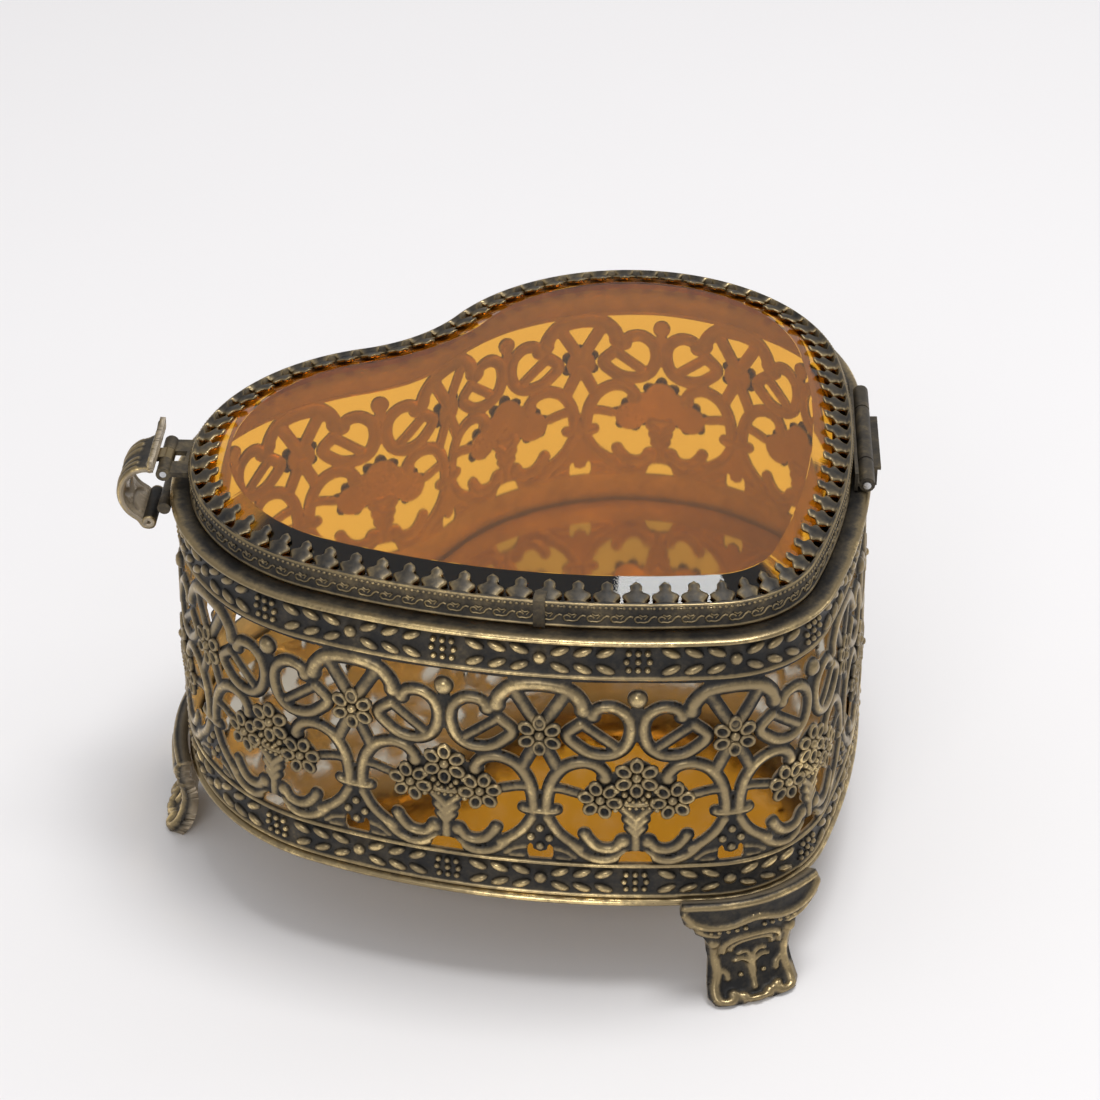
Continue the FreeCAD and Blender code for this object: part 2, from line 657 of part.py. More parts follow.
def hasp():
    """A bowed strap that hangs from the lid: ears above, a rolled end below."""
    body = new_body("hasp")
    reach, level = size("hasp_reach"), size("hasp_level")
    thick, bow, roll = size("hasp_thickness"), size("hasp_bow"), size("hasp_roll")
    front = reach + size("hasp_knuckle_radius")
    # the bow is a half round whose top springs from the knuckle
    centre = Vector(front + size("hasp_lead"), level + size("hasp_knuckle_radius") - bow, 0)
    up = Vector(0, 0, 1)
    inner = bow - thick
    strap = new_sketch(body, "hasp_strap", "YZ_Plane")
    top_out, top_in = centre + Vector(0, bow, 0), centre + Vector(0, inner, 0)
    foot_out, foot_in = centre + Vector(0, -bow, 0), centre + Vector(0, -inner, 0)
    root = front + size("hasp_root_gap")
    end = size("catch_radius") * 2 + size("rail_proud") + size("catch_gap") + roll
    draw(strap, [
        Part.ArcOfCircle(Part.Circle(centre, up, bow), -math.pi / 2, math.pi / 2),
        Part.ArcOfCircle(Part.Circle(centre, up, inner), -math.pi / 2, math.pi / 2),
        Part.LineSegment(top_out, Vector(root, top_out.y, 0)),
        Part.LineSegment(Vector(root, top_out.y, 0), Vector(root, top_in.y, 0)),
        Part.LineSegment(Vector(root, top_in.y, 0), top_in),
        Part.LineSegment(foot_out, Vector(end, foot_out.y, 0)),
        Part.LineSegment(Vector(end, foot_out.y, 0), Vector(end, foot_in.y, 0)),
        Part.LineSegment(Vector(end, foot_in.y, 0), foot_in),
    ])
    pad(body, strap, "dims.hasp_width", symmetric=True)

    rolled = new_sketch(body, "hasp_rolled_end", "YZ_Plane")
    draw(rolled, circle(end, (foot_out.y + foot_in.y) / 2, roll))
    pad(body, rolled, "dims.hasp_width", symmetric=True)

    ears = new_sketch(body, "hasp_ears", "YZ_Plane")
    draw(ears, rectangle(root, top_in.y, root + thick, top_out.y + size("ear_height") - thick))
    pad(body, ears, "dims.ear_width", symmetric=True)

    knuckle = new_sketch(body, "hasp_knuckle", "YZ_Plane")
    draw(knuckle, circle(reach, level, size("hasp_knuckle_radius")))
    length = "dims.hasp_width - 2 * dims.hasp_knuckle_width"
    pad(body, knuckle, length, symmetric=True)
    neck = new_sketch(body, "hasp_neck", "YZ_Plane")
    draw(neck, rectangle(reach, top_in.y, root + thick, top_out.y))
    pad(body, neck, length, symmetric=True)

    bore = new_sketch(body, "hasp_bore", "YZ_Plane")
    draw(bore, circle(reach, level, size("hasp_pin_radius") + size("running_fit")))
    pocket = body.newObject("PartDesign::Pocket", "hasp_bore_pocket")
    pocket.Profile = bore
    pocket.SideType = "Symmetric"
    pocket.setExpression("Length", "dims.hasp_width")
    body.Placement = HASP_FRAME
    keep(body, "hasp")


def hasp_bracket():
    """Two knuckles on the lid band that carry the hasp's pin."""
    reach, level = size("hasp_reach"), size("hasp_level")
    width, gap = size("hasp_knuckle_width"), size("knuckle_gap")
    starts = (-size("hasp_width") / 2 - gap, size("hasp_width") / 2 + gap - width)
    knuckles = []
    low = level - size("leaf_thickness") / 2
    # the arms reach in to the lid band, which curves away from the flat bracket
    radius = size("lobe_radius") - size("lid_inset")
    half = size("hasp_width") / 2 + gap
    sag = size("lobe_radius") - size("lid_inset") - math.sqrt(radius ** 2 - half ** 2)
    inner = size("solder_gap") - size("lid_inset")
    for index, start in enumerate(starts):
        place = along_x(start, reach, level)
        knuckles.append(cylinder(f"bracket_knuckle_{index}", "dims.hasp_knuckle_radius",
                                 "dims.hasp_knuckle_width", place))
        knuckles.append(box(f"bracket_arm_{index}", "dims.hasp_knuckle_width", f"{reach - inner}",
                            "dims.leaf_thickness", (start, inner, low)))
    root = box("bracket_root", "dims.hasp_width + 2 * dims.knuckle_gap", f"{size('hasp_root_depth') + sag}",
               "dims.leaf_thickness", (-half, inner, low))
    whole = fuse("hasp_bracket_body", knuckles + [root])
    bore = cylinder("hasp_bracket_bore", "dims.hasp_pin_radius + dims.press_fit",
                    "dims.hasp_width + 2 * dims.knuckle_gap", along_x(-half, reach, level))
    bracket = cut("hasp_bracket_cut", whole, [bore])
    bracket.Placement = HASP_FRAME
    keep(bracket, "hasp_bracket")


def hasp_pin():
    length = "dims.hasp_width + 2 * dims.knuckle_gap"
    half = size("hasp_width") / 2 + size("knuckle_gap")
    pin = cylinder("hasp_pin", "dims.hasp_pin_radius", length, Placement())
    pin.Placement = HASP_FRAME.multiply(along_x(-half, size("hasp_reach"), size("hasp_level")))
    keep(pin, "hasp_pin")


def catch_barrel():
    """The small barrel on the wall that the hasp's rolled end springs under."""
    radius = size("catch_radius")
    middle = size("rail_proud") + radius
    bow_top = size("hasp_level") + size("hasp_knuckle_radius")
    bow_foot = bow_top - 2 * size("hasp_bow") + size("hasp_thickness") / 2
    level = bow_foot + size("hasp_roll") + radius + size("catch_drop")
    barrel = cylinder("catch_round", "dims.catch_radius", "dims.catch_width",
                      along_x(-size("catch_width") / 2, middle, level))
    # the wall curves away from the flat back of the strap by this much at its ends
    strap = box("catch_strap", "0.5 * dims.catch_width", f"{middle}", "dims.leaf_thickness",
                (-size("catch_width") / 4, 0, level - size("leaf_thickness") / 2))
    catch = fuse("catch_body", [barrel, strap])
    catch.Placement = HASP_FRAME
    keep(catch, "catch_barrel")


# ---------------------------------------------------------------- the movement
SHIFT = size("movement_shift")
PLATE_FOOT = WALL_FOOT - size("bedplate_thickness")
DRUM_X = size("drum_offset")
DRUM_TOP = PLATE_FOOT - size("end_play")
DRUM_FOOT = DRUM_TOP - size("drum_height")
CROWN_FOOT = DRUM_FOOT - size("crown_thickness")
BRIDGE_TOP = CROWN_FOOT - size("end_play")
BRIDGE_FOOT = BRIDGE_TOP - size("bridge_thickness")
AXIS_Z = DRUM_FOOT + size("gear_radius") + size("mesh_gap")
DRIVE_X = DRUM_X + size("drum_radius") + size("end_play")
BEARING_X = DRIVE_X + size("gear_thickness") + size("end_play")
CYLINDER_X = BEARING_X + size("bracket_thickness") + size("end_play")
END_GEAR_X = CYLINDER_X + size("cylinder_length") + size("end_play")
END_BEARING_X = END_GEAR_X + size("gear_thickness") + size("end_play")
WHEEL_Y = SHIFT - size("gear_radius") - size("pinion_radius") - size("mesh_gap")
WHEEL_X = END_BEARING_X + size("bracket_thickness") + 3 * size("end_play")
FLY_X = WHEEL_X + size("wheel_thickness") / 2
FLY_Y = WHEEL_Y - size("wheel_radius") - size("worm_radius") - size("mesh_gap")
FLY_TOP = AXIS_Z - size("wheel_radius") - size("end_play")
FLY_FOOT = FLY_TOP - size("fly_height")


def bedplate():
    """The plate that everything in the movement is fixed to."""
    half = size("bedplate_length") / 2
    low = SHIFT - size("bedplate_width") / 2
    plate = box("bedplate_block", "dims.bedplate_length", "dims.bedplate_width", "dims.bedplate_thickness",
                (-half, low, PLATE_FOOT))
    holes = []
    for index, (x, y) in enumerate(screw_places()):
        holes.append(cylinder(f"bedplate_hole_{index}", "dims.screw_radius + dims.running_fit",
                              "dims.bedplate_thickness", upright(x, y + SHIFT, PLATE_FOOT)))
    holes.append(cylinder("arbor_pivot_hole", "0.5 * dims.arbor_radius + dims.running_fit",
                          "dims.bedplate_thickness", upright(DRUM_X, SHIFT, PLATE_FOOT)))
    holes.append(cylinder("fly_pivot_hole", "dims.fly_shaft_radius + dims.running_fit",
                          "dims.bedplate_thickness", upright(FLY_X, FLY_Y, PLATE_FOOT)))
    keep(cut("bedplate_cut", plate, holes), "bedplate")


def movement_screws():
    """Three cheese-head screws from below, through the bedplate into the pan."""
    screws = []
    for index, (x, y) in enumerate(screw_places()):
        head = cylinder(f"screw_head_{index}", "dims.screw_head_radius", "dims.screw_head_height",
                        upright(x, y + SHIFT, PLATE_FOOT - size("screw_head_height")))
        shank = cylinder(f"screw_shank_{index}", "dims.screw_radius",
                         "dims.bedplate_thickness + dims.pan_thickness", upright(x, y + SHIFT, PLATE_FOOT))
        screws.append(fuse(f"screw_{index}", [head, shank]))
    group = doc.addObject("Part::Compound", "movement_screws_group")
    group.Links = screws
    keep(group, "movement_screws")


# half widths of a gear tooth, as shares of the pitch
TOOTH_ROOT = 0.30
TOOTH_TIP = 0.16


def toothed_disc(name, radius, thickness, teeth, depth, bore):
    """A spur gear with straight-sided teeth, in the XY plane, as a solid."""
    count = int(teeth)
    pitch = 2 * math.pi / count
    corners = []
    for index in range(count):
        middle = index * pitch
        root, tip = radius - depth, radius
        flanks = ((-TOOTH_ROOT, root), (-TOOTH_TIP, tip), (TOOTH_TIP, tip), (TOOTH_ROOT, root))
        for turn, reach in flanks:
            angle = middle + turn * pitch
            corners.append(Vector(reach * math.cos(angle), reach * math.sin(angle), 0))
    outline = Part.makePolygon(corners + corners[:1])
    blank = Part.Face(outline).extrude(Vector(0, 0, thickness))
    gear = blank.cut(Part.makeCylinder(bore, thickness))
    thing = doc.addObject("Part::Feature", name)
    thing.Shape = gear.Solids[0]
    return thing


def spring_drum():
    """The drum that the mainspring turns: a closed cup with a crown gear below."""
    stand = upright(DRUM_X, SHIFT, DRUM_FOOT)
    shell = cylinder("drum_outside", "dims.drum_radius", "dims.drum_height", stand)
    cavity = cylinder("drum_inside", "dims.drum_radius - dims.drum_wall",
                      "dims.drum_height - 2 * dims.drum_wall",
                      upright(DRUM_X, SHIFT, DRUM_FOOT + size("drum_wall")))
    bore = cylinder("drum_bore", "dims.arbor_radius + dims.running_fit", "dims.drum_height",
                    upright(DRUM_X, SHIFT, DRUM_FOOT))
    keep(cut("drum_cut", shell, [fuse("drum_hollow", [cavity, bore])]), "spring_drum")
    crown = toothed_disc("crown_gear", size("crown_radius"), size("crown_thickness"),
                         size("crown_teeth"), size("tooth_depth"), size("arbor_radius") + size("running_fit"))
    crown.Placement = upright(DRUM_X, SHIFT, CROWN_FOOT)
    keep(crown, "crown_gear")


def mainspring():
    """A flat strip wound in half-circles, each a little wider than the one before."""
    strip = size("spring_strip")
    turns = int(size("spring_turns"))
    inner = size("arbor_radius") + 3 * size("running_fit") + strip
    outer = size("drum_radius") - size("drum_wall") - 2 * strip
    step = (outer - inner) / (2 * turns)
    edges = []
    ends = []
    for side in (0, strip):
        here = inner + side
        for index in range(2 * turns):
            radius = inner + index * step + side
            sign = 1 if index % 2 == 0 else -1
            middle = Vector(here * sign - radius * sign, 0, 0)
            start = middle + Vector(radius * sign, 0, 0)
            crest = middle + Vector(0, radius * sign, 0)
            end = middle - Vector(radius * sign, 0, 0)
            edges.append(Part.Arc(start, crest, end).toShape())
            if index == 0:
                ends.append([start])
            here = abs(end.x)
            last = end
        ends[-1].append(last)
    edges.append(Part.LineSegment(ends[0][0], ends[1][0]).toShape())
    edges.append(Part.LineSegment(ends[0][1], ends[1][1]).toShape())
    outline = Part.Wire(Part.__sortEdges__(edges))
    height = size("drum_height") - 2 * size("drum_wall") - size("end_play")
    thing = doc.addObject("Part::Feature", "mainspring")
    thing.Shape = Part.Face(outline).extrude(Vector(0, 0, height))
    thing.Placement = upright(DRUM_X, SHIFT, DRUM_FOOT + size("drum_wall") + size("end_play") / 2)
    keep(thing, "mainspring")


KEY_FOOT = size("key_floor")


def winding_arbor():
    """The arbor that winds the spring, with a thin pivot in the bedplate."""
    low = KEY_FOOT + size("key_height") / 2
    shaft = doc.addObject("Part::Cylinder", "arbor_shaft")
    shaft.setExpression("Radius", "dims.arbor_radius")
    shaft.Height = DRUM_TOP + size("end_play") / 2 - low
    shaft.Placement = upright(DRUM_X, SHIFT, low)
    pivot = cylinder("arbor_pivot", "0.5 * dims.arbor_radius", "dims.bedplate_thickness",
                     upright(DRUM_X, SHIFT, DRUM_TOP + size("end_play") / 2))
    keep(fuse("arbor_body", [shaft, pivot]), "winding_arbor")


def winding_key():
    """A butterfly key: a round hub with two flat wings."""
    body = new_body("winding_key")
    half = size("key_span") / 2
    height = size("key_height")
    hub_radius = size("key_hub_radius")
    wings = new_sketch(body, "key_wings", "XZ_Plane")
    corner = height / 2
    draw(wings, [
        Part.LineSegment(Vector(-half + corner, 0, 0), Vector(half - corner, 0, 0)),
        Part.Arc(Vector(half - corner, 0, 0), Vector(half, corner, 0), Vector(half - corner, height, 0)),
        Part.LineSegment(Vector(half - corner, height, 0), Vector(-half + corner, height, 0)),
        Part.Arc(Vector(-half + corner, height, 0), Vector(-half, corner, 0), Vector(-half + corner, 0, 0)),
    ])
    pad(body, wings, "dims.key_thickness", symmetric=True)
    hub = new_sketch(body, "key_hub")
    draw(hub, circle(0, 0, hub_radius))
    pad(body, hub, "dims.key_height")
    bore = new_sketch(body, "key_bore")
    draw(bore, circle(0, 0, size("arbor_radius")))
    bore.AttachmentOffset = Placement(Vector(0, 0, height / 2), Rotation())
    pocket = body.newObject("PartDesign::Pocket", "key_bore_pocket")
    pocket.Profile = bore
    pocket.setExpression("Length", "dims.key_height")
    pocket.Reversed = True
    body.Placement = upright(DRUM_X, SHIFT, KEY_FOOT)
    keep(body, "winding_key")


def drum_bridge():
    """The bridge under the drum, on two posts."""
    reach = size("crown_radius") + size("end_play") + size("bridge_post_radius")
    bar = box("bridge_bar", "dims.bridge_width", f"{2 * reach + 2 * size('bridge_post_radius')}",
              "dims.bridge_thickness",
              (DRUM_X - size("bridge_width") / 2, SHIFT - reach - size("bridge_post_radius"), BRIDGE_FOOT))
    posts = []
    for side in (-1, 1):
        post = doc.addObject("Part::Cylinder", f"bridge_post_{side + 1}")
        post.setExpression("Radius", "dims.bridge_post_radius")
        post.Height = PLATE_FOOT - BRIDGE_TOP
        post.Placement = upright(DRUM_X, SHIFT + side * reach, BRIDGE_TOP)
        posts.append(post)
    whole = fuse("bridge_body", [bar] + posts)
    bore = cylinder("bridge_bore", "dims.arbor_radius + dims.running_fit", "dims.bridge_thickness",
                    upright(DRUM_X, SHIFT, BRIDGE_FOOT))
    keep(cut("bridge_cut", whole, [bore]), "drum_bridge")


def bearing_bracket(label, x, y, sideways, bore_radius):
    """An upright plate under the bedplate with a bearing hole along X at height AXIS_Z."""
    height = PLATE_FOOT - AXIS_Z + size("bracket_margin")
    plate = doc.addObject("Part::Box", label + "_plate")
    plate.setExpression("Length", "dims.bracket_thickness")
    plate.setExpression("Width", "dims.bracket_width")
    plate.Height = height
    plate.Placement = upright(x, y + sideways - size("bracket_width") / 2, PLATE_FOOT - height)
    hole = cylinder(label + "_hole", bore_radius + " + dims.running_fit", "dims.bracket_thickness",
                    along_x(x, y, AXIS_Z))
    keep(cut(label + "_cut", plate, [hole]), label)


def cylinder_unit():
    """The pinned cylinder, its arbor, its two gears and its two bearings."""
    arbor_start = DRIVE_X - size("end_play") / 2
    arbor = doc.addObject("Part::Cylinder", "cylinder_arbor")
    arbor.setExpression("Radius", "dims.cylinder_arbor_radius")
    arbor.Height = END_BEARING_X + size("bracket_thickness") + size("end_play") - arbor_start
    arbor.Placement = along_x(arbor_start, SHIFT, AXIS_Z)
    keep(arbor, "cylinder_arbor")
    outside = cylinder("cylinder_outside", "dims.cylinder_radius", "dims.cylinder_length",
                       along_x(CYLINDER_X, SHIFT, AXIS_Z))
    bore = cylinder("cylinder_bore", "dims.cylinder_arbor_radius", "dims.cylinder_length",
                    along_x(CYLINDER_X, SHIFT, AXIS_Z))
    keep(cut("cylinder_cut", outside, [bore]), "pin_cylinder")
    for label, x in (("cylinder_drive_gear", DRIVE_X), ("cylinder_end_gear", END_GEAR_X)):
        gear = toothed_disc(label, size("gear_radius"), size("gear_thickness"), size("gear_teeth"),
                            size("tooth_depth"), size("cylinder_arbor_radius"))
        gear.Placement = along_x(x, SHIFT, AXIS_Z)
        keep(gear, label)
    bearing_bracket("drive_bearing", BEARING_X, SHIFT, 0, "dims.cylinder_arbor_radius")
    bearing_bracket("end_bearing", END_BEARING_X, SHIFT, 0, "dims.cylinder_arbor_radius")


COMB_Y = SHIFT + size("cylinder_radius") + size("comb_gap")
HEEL_Y = COMB_Y + size("comb_reach") - size("comb_heel_depth")
COMB_FOOT = AXIS_Z - size("comb_thickness") / 2


def comb_screw_places():
    middle = HEEL_Y + size("comb_heel_depth") / 2
    inset = size("comb_screw_inset")
    return [(CYLINDER_X + inset, middle), (CYLINDER_X + size("cylinder_length") - inset, middle)]


def comb():
    """The steel comb: a thin plate slit into teeth, with a thick heel."""
    body = new_body("comb")
    length = size("cylinder_length")
    plate = new_sketch(body, "comb_plan")
    draw(plate, rectangle(0, 0, length, size("comb_reach")))
    pad(body, plate, "dims.comb_thickness")
    heel = new_sketch(body, "comb_heel_plan")
    draw(heel, rectangle(0, size("comb_reach") - size("comb_heel_depth"), length, size("comb_reach")))
    pad(body, heel, "dims.comb_heel")
    slots = new_sketch(body, "comb_slots")
    teeth = int(size("comb_teeth"))
    pitch = length / teeth
    half = size("comb_slot") / 2
    root = size("comb_reach") - size("comb_heel_depth") - size("slot_margin")
    for index in range(1, teeth):
        draw(slots, rectangle(index * pitch - half, -1, index * pitch + half, root))
    slit = body.newObject("PartDesign::Pocket", "comb_slits")
    slit.Profile = slots
    slit.setExpression("Length", "dims.comb_heel")
    slit.Reversed = True
    holes = new_sketch(body, "comb_holes")
    for x, y in comb_screw_places():
        radius = size("comb_screw_radius") + size("running_fit")
        draw(holes, circle(x - CYLINDER_X, y - COMB_Y, radius))
    bored = body.newObject("PartDesign::Pocket", "comb_bores")
    bored.Profile = holes
    bored.setExpression("Length", "dims.comb_heel")
    bored.Reversed = True
    body.Placement = upright(CYLINDER_X, COMB_Y, COMB_FOOT)
    keep(body, "comb")


def comb_base():
    """The block between the comb and the bedplate."""
    block = doc.addObject("Part::Box", "comb_base_block")
    block.setExpression("Length", "dims.cylinder_length")
    block.setExpression("Width", "dims.comb_heel_depth")
    block.Height = PLATE_FOOT - COMB_FOOT - size("comb_heel")
    block.Placement = upright(CYLINDER_X, HEEL_Y, COMB_FOOT + size("comb_heel"))
    holes = []
    for index, (x, y) in enumerate(comb_screw_places()):
        hole = doc.addObject("Part::Cylinder", f"comb_base_hole_{index}")
        hole.setExpression("Radius", "dims.comb_screw_radius + dims.running_fit")
        hole.Height = PLATE_FOOT - COMB_FOOT - size("comb_heel")
        hole.Placement = upright(x, y, COMB_FOOT + size("comb_heel"))
        holes.append(hole)
    keep(cut("comb_base_cut", block, holes), "comb_base")


def comb_screws():
    screws = []
    for index, (x, y) in enumerate(comb_screw_places()):
        head = cylinder(f"comb_screw_head_{index}", "dims.comb_screw_head", "dims.screw_head_height",
                        upright(x, y, COMB_FOOT - size("screw_head_height")))
        shank = doc.addObject("Part::Cylinder", f"comb_screw_shank_{index}")
        shank.setExpression("Radius", "dims.comb_screw_radius")
        shank.Height = PLATE_FOOT - COMB_FOOT
        shank.Placement = upright(x, y, COMB_FOOT)
        screws.append(fuse(f"comb_screw_{index}", [head, shank]))
    group = doc.addObject("Part::Compound", "comb_screws_group")
    group.Links = screws
    keep(group, "comb_screws")


def governor():
    """The wheel that the cylinder drives, and the worm and fly that it spins."""
    start = END_GEAR_X - size("end_play") - size("bracket_thickness") - size("end_play")
    arbor = doc.addObject("Part::Cylinder", "governor_arbor_round")
    arbor.setExpression("Radius", "dims.wheel_arbor_radius")
    arbor.Height = WHEEL_X + size("wheel_thickness") + size("end_play") - start
    arbor.Placement = along_x(start, WHEEL_Y, AXIS_Z)
    keep(arbor, "governor_arbor")
    pinion = toothed_disc("governor_pinion", size("pinion_radius"), size("gear_thickness"),
                          size("pinion_teeth"), size("fine_tooth_depth"), size("wheel_arbor_radius"))
    pinion.Placement = along_x(END_GEAR_X, WHEEL_Y, AXIS_Z)
    keep(pinion, "governor_pinion")
    wheel = toothed_disc("governor_wheel", size("wheel_radius"), size("wheel_thickness"),
                         size("wheel_teeth"), size("fine_tooth_depth"), size("wheel_arbor_radius"))
    wheel.Placement = along_x(WHEEL_X, WHEEL_Y, AXIS_Z)
    keep(wheel, "governor_wheel")
    # they stand off centre, to leave room for the cylinder's own bearing
    sideways = -size("bracket_width") / 4
    inner_x = END_GEAR_X - size("end_play") - size("bracket_thickness")
    bearing_bracket("governor_bearing_inner", inner_x, WHEEL_Y, sideways, "dims.wheel_arbor_radius")
    bearing_bracket("governor_bearing_outer", END_BEARING_X, WHEEL_Y, sideways, "dims.wheel_arbor_radius")


def fly():
    """The air brake: a worm shaft with a two-bladed fan."""
    body = new_body("governor_fly")
    low = FLY_FOOT - size("bridge_thickness") - size("end_play") / 2
    shaft = new_sketch(body, "fly_shaft")
    draw(shaft, circle(0, 0, size("fly_shaft_radius")))
    shaft_pad = body.newObject("PartDesign::Pad", "fly_shaft_pad")
    shaft_pad.Profile = shaft
    shaft_pad.Length = PLATE_FOOT + size("bedplate_thickness") / 2 - low
    worm = new_sketch(body, "fly_worm")
    draw(worm, circle(0, 0, size("worm_radius")))
    worm.AttachmentOffset = Placement(Vector(0, 0, AXIS_Z - size("worm_length") / 2 - low), Rotation())
    pad(body, worm, "dims.worm_length")
    blades = new_sketch(body, "fly_blades")
    reach, half = size("fly_radius"), size("fly_blade") / 2
    tip = math.sqrt(reach ** 2 - half ** 2)
    draw(blades, rectangle(-tip, -half, tip, half))
    blades.AttachmentOffset = Placement(Vector(0, 0, FLY_FOOT - low), Rotation())
    pad(body, blades, "dims.fly_height")
    body.Placement = upright(FLY_X, FLY_Y, low)
    keep(body, "governor_fly")


def fly_bracket():
    """The arm under the bedplate that holds the lower end of the fly shaft."""
    thick = size("bracket_thickness")
    post_x = FLY_X + size("fly_radius") + size("end_play")
    low = FLY_FOOT - size("end_play") / 2 - thick
    width = size("fly_bracket_width")
    post = doc.addObject("Part::Box", "fly_post")
    post.setExpression("Length", "dims.bracket_thickness")
    post.setExpression("Width", "dims.fly_bracket_width")
    post.Height = PLATE_FOOT - low
    post.Placement = upright(post_x, FLY_Y - width / 2, low)
    arm = doc.addObject("Part::Box", "fly_arm")
    arm.Length = post_x - FLY_X + 2 * size("fly_shaft_radius") + thick
    arm.setExpression("Width", "dims.fly_bracket_width")
    arm.setExpression("Height", "dims.bracket_thickness")
    arm.Placement = upright(FLY_X - 2 * size("fly_shaft_radius"), FLY_Y - width / 2, low)
    hole = cylinder("fly_arm_hole", "dims.fly_shaft_radius + dims.running_fit", "dims.bracket_thickness",
                    upright(FLY_X, FLY_Y, low))
    keep(cut("fly_bracket_cut", fuse("fly_bracket_body", [post, arm]), [hole]), "fly_bracket")


LEVER_X = FLY_X - size("lever_length")
LEVER_Y = FLY_Y - size("fly_shaft_radius") - size("lever_clearance") - size("lever_width") / 4
LEVER_FOOT = FLY_TOP + size("end_play")


def stop_lever():
    """The lever whose tip swings up to the fly shaft and holds it still."""
    body = new_body("stop_lever")
    half = size("lever_width") / 2
    length = size("lever_length")
    handle = size("lever_handle")
    plan = new_sketch(body, "lever_plan")
    draw(plan, polygon([
        (-half, half), (length + half, half / 2), (length + half, -half / 2), (half, -half),
        (half, -handle), (-half, -handle),
    ]))
    pad(body, plan, "dims.lever_thickness")
    bore = new_sketch(body, "lever_bore")
    draw(bore, circle(0, 0, size("lever_pivot_radius") + size("running_fit")))
    pocket = body.newObject("PartDesign::Pocket", "lever_bore_pocket")
    pocket.Profile = bore
    pocket.setExpression("Length", "dims.lever_thickness")
    pocket.Reversed = True
    # at rest the lever stands clear of the shaft by its full swing
    body.Placement = Placement(Vector(LEVER_X, LEVER_Y, LEVER_FOOT),
                               Rotation(Vector(0, 0, 1), -size("lever_swing")))
    keep(body, "stop_lever")
    pin = doc.addObject("Part::Cylinder", "lever_pin_round")
    pin.setExpression("Radius", "dims.lever_pivot_radius")
    pin.Height = PLATE_FOOT - LEVER_FOOT + size("end_play")
    pin.Placement = upright(LEVER_X, LEVER_Y, LEVER_FOOT - size("end_play"))
    keep(pin, "lever_pin")


# ---------------------------------------------------------------- build
base_rail()
filigree_wall()
top_rail()
base_pan()
floor_mirror()
feet()
lid_band()
lid_seat()
lid_glass()
gallery_clip()
lid_hinge_leaf()
case_hinge_leaf()
hinge_pin()
hasp()
hasp_bracket()
hasp_pin()
catch_barrel()
bedplate()
movement_screws()
spring_drum()
mainspring()
winding_arbor()
winding_key()
drum_bridge()
cylinder_unit()
comb()
comb_base()
comb_screws()
governor()
fly()
fly_bracket()
stop_lever()
doc.recompute()


def centre_on_footprint():
    """Move every piece so that the box round them stands centred on the origin."""
    around = FreeCAD.BoundBox()
    for piece in pieces:
        around.add(piece.Shape.BoundBox)
    move = Vector(-around.Center.x, -around.Center.y, -around.ZMin)
    for piece in pieces:
        here = piece.Placement
        piece.Placement = Placement(here.Base + move, here.Rotation)
    doc.recompute()
    return move


moved = centre_on_footprint()
print("moved by", moved)


def check():
    """Stop if any object failed or any sub-part is empty or broken."""
    for thing in doc.Objects:
        if "Invalid" in thing.State or "Error" in thing.State:
            raise RuntimeError("failed: " + thing.Name)
    for piece in pieces:
        if piece.Shape.isNull() or not piece.Shape.isValid() or not piece.Shape.Solids:
            raise RuntimeError("no sound solid: " + piece.Label)


check()
os.makedirs("parts", exist_ok=True)
for piece in pieces:
    piece.Shape.exportStep("parts/" + piece.Label + ".step")
print(len(pieces), "sub-parts written")
print("hinge axis at", HINGE_FRAME.multVec(Vector(0, HINGE_REACH, HINGE_LEVEL)) + moved)
print("hasp axis at", HASP_FRAME.multVec(Vector(0, size("hasp_reach"), size("hasp_level"))) + moved)
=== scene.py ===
# %% [markdown]
# # A heart-shaped brass casket with a musical movement under its floor
#
# The casket is stamped and cast brass: a pierced wall on three feet, a lid of
# amber glass held by a crown of little tabs, a hinge, a hasp and, under the
# floor, a clockwork movement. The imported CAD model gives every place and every
# joint; this script gives each piece its finished shape and metal.
#
# Everything that runs round the heart is drawn once, flat, as one repeat of the
# pattern, and a Geometry Nodes tree repeats it and bends it round the outline.

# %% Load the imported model
import json
import math

import bmesh
import bpy
import numpy as np
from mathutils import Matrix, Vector


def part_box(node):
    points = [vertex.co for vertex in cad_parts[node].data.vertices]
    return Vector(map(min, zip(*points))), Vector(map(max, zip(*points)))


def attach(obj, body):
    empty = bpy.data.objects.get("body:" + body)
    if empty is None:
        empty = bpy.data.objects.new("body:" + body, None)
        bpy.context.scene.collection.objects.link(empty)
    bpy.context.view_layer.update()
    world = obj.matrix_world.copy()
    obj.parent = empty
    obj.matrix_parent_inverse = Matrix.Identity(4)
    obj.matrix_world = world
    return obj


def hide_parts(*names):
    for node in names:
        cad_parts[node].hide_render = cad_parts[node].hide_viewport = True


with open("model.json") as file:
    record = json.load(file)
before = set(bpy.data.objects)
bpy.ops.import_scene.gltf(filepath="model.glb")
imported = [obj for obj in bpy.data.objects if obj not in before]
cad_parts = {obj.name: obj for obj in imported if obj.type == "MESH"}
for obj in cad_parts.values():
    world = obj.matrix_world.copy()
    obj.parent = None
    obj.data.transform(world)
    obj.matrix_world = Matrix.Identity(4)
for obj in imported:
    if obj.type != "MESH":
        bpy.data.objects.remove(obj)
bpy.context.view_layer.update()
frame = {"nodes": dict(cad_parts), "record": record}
nodes = frame["nodes"]
MM = 0.001


def box_mm(name):
    """The low and high corners of a CAD node's box, in millimetres."""
    return [np.array(corner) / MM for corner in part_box(name)]


def placed(name, data):
    """A new object that shows a mesh, a curve, a lamp or a camera."""
    thing = bpy.data.objects.new(name, data)
    bpy.context.scene.collection.objects.link(thing)
    return thing


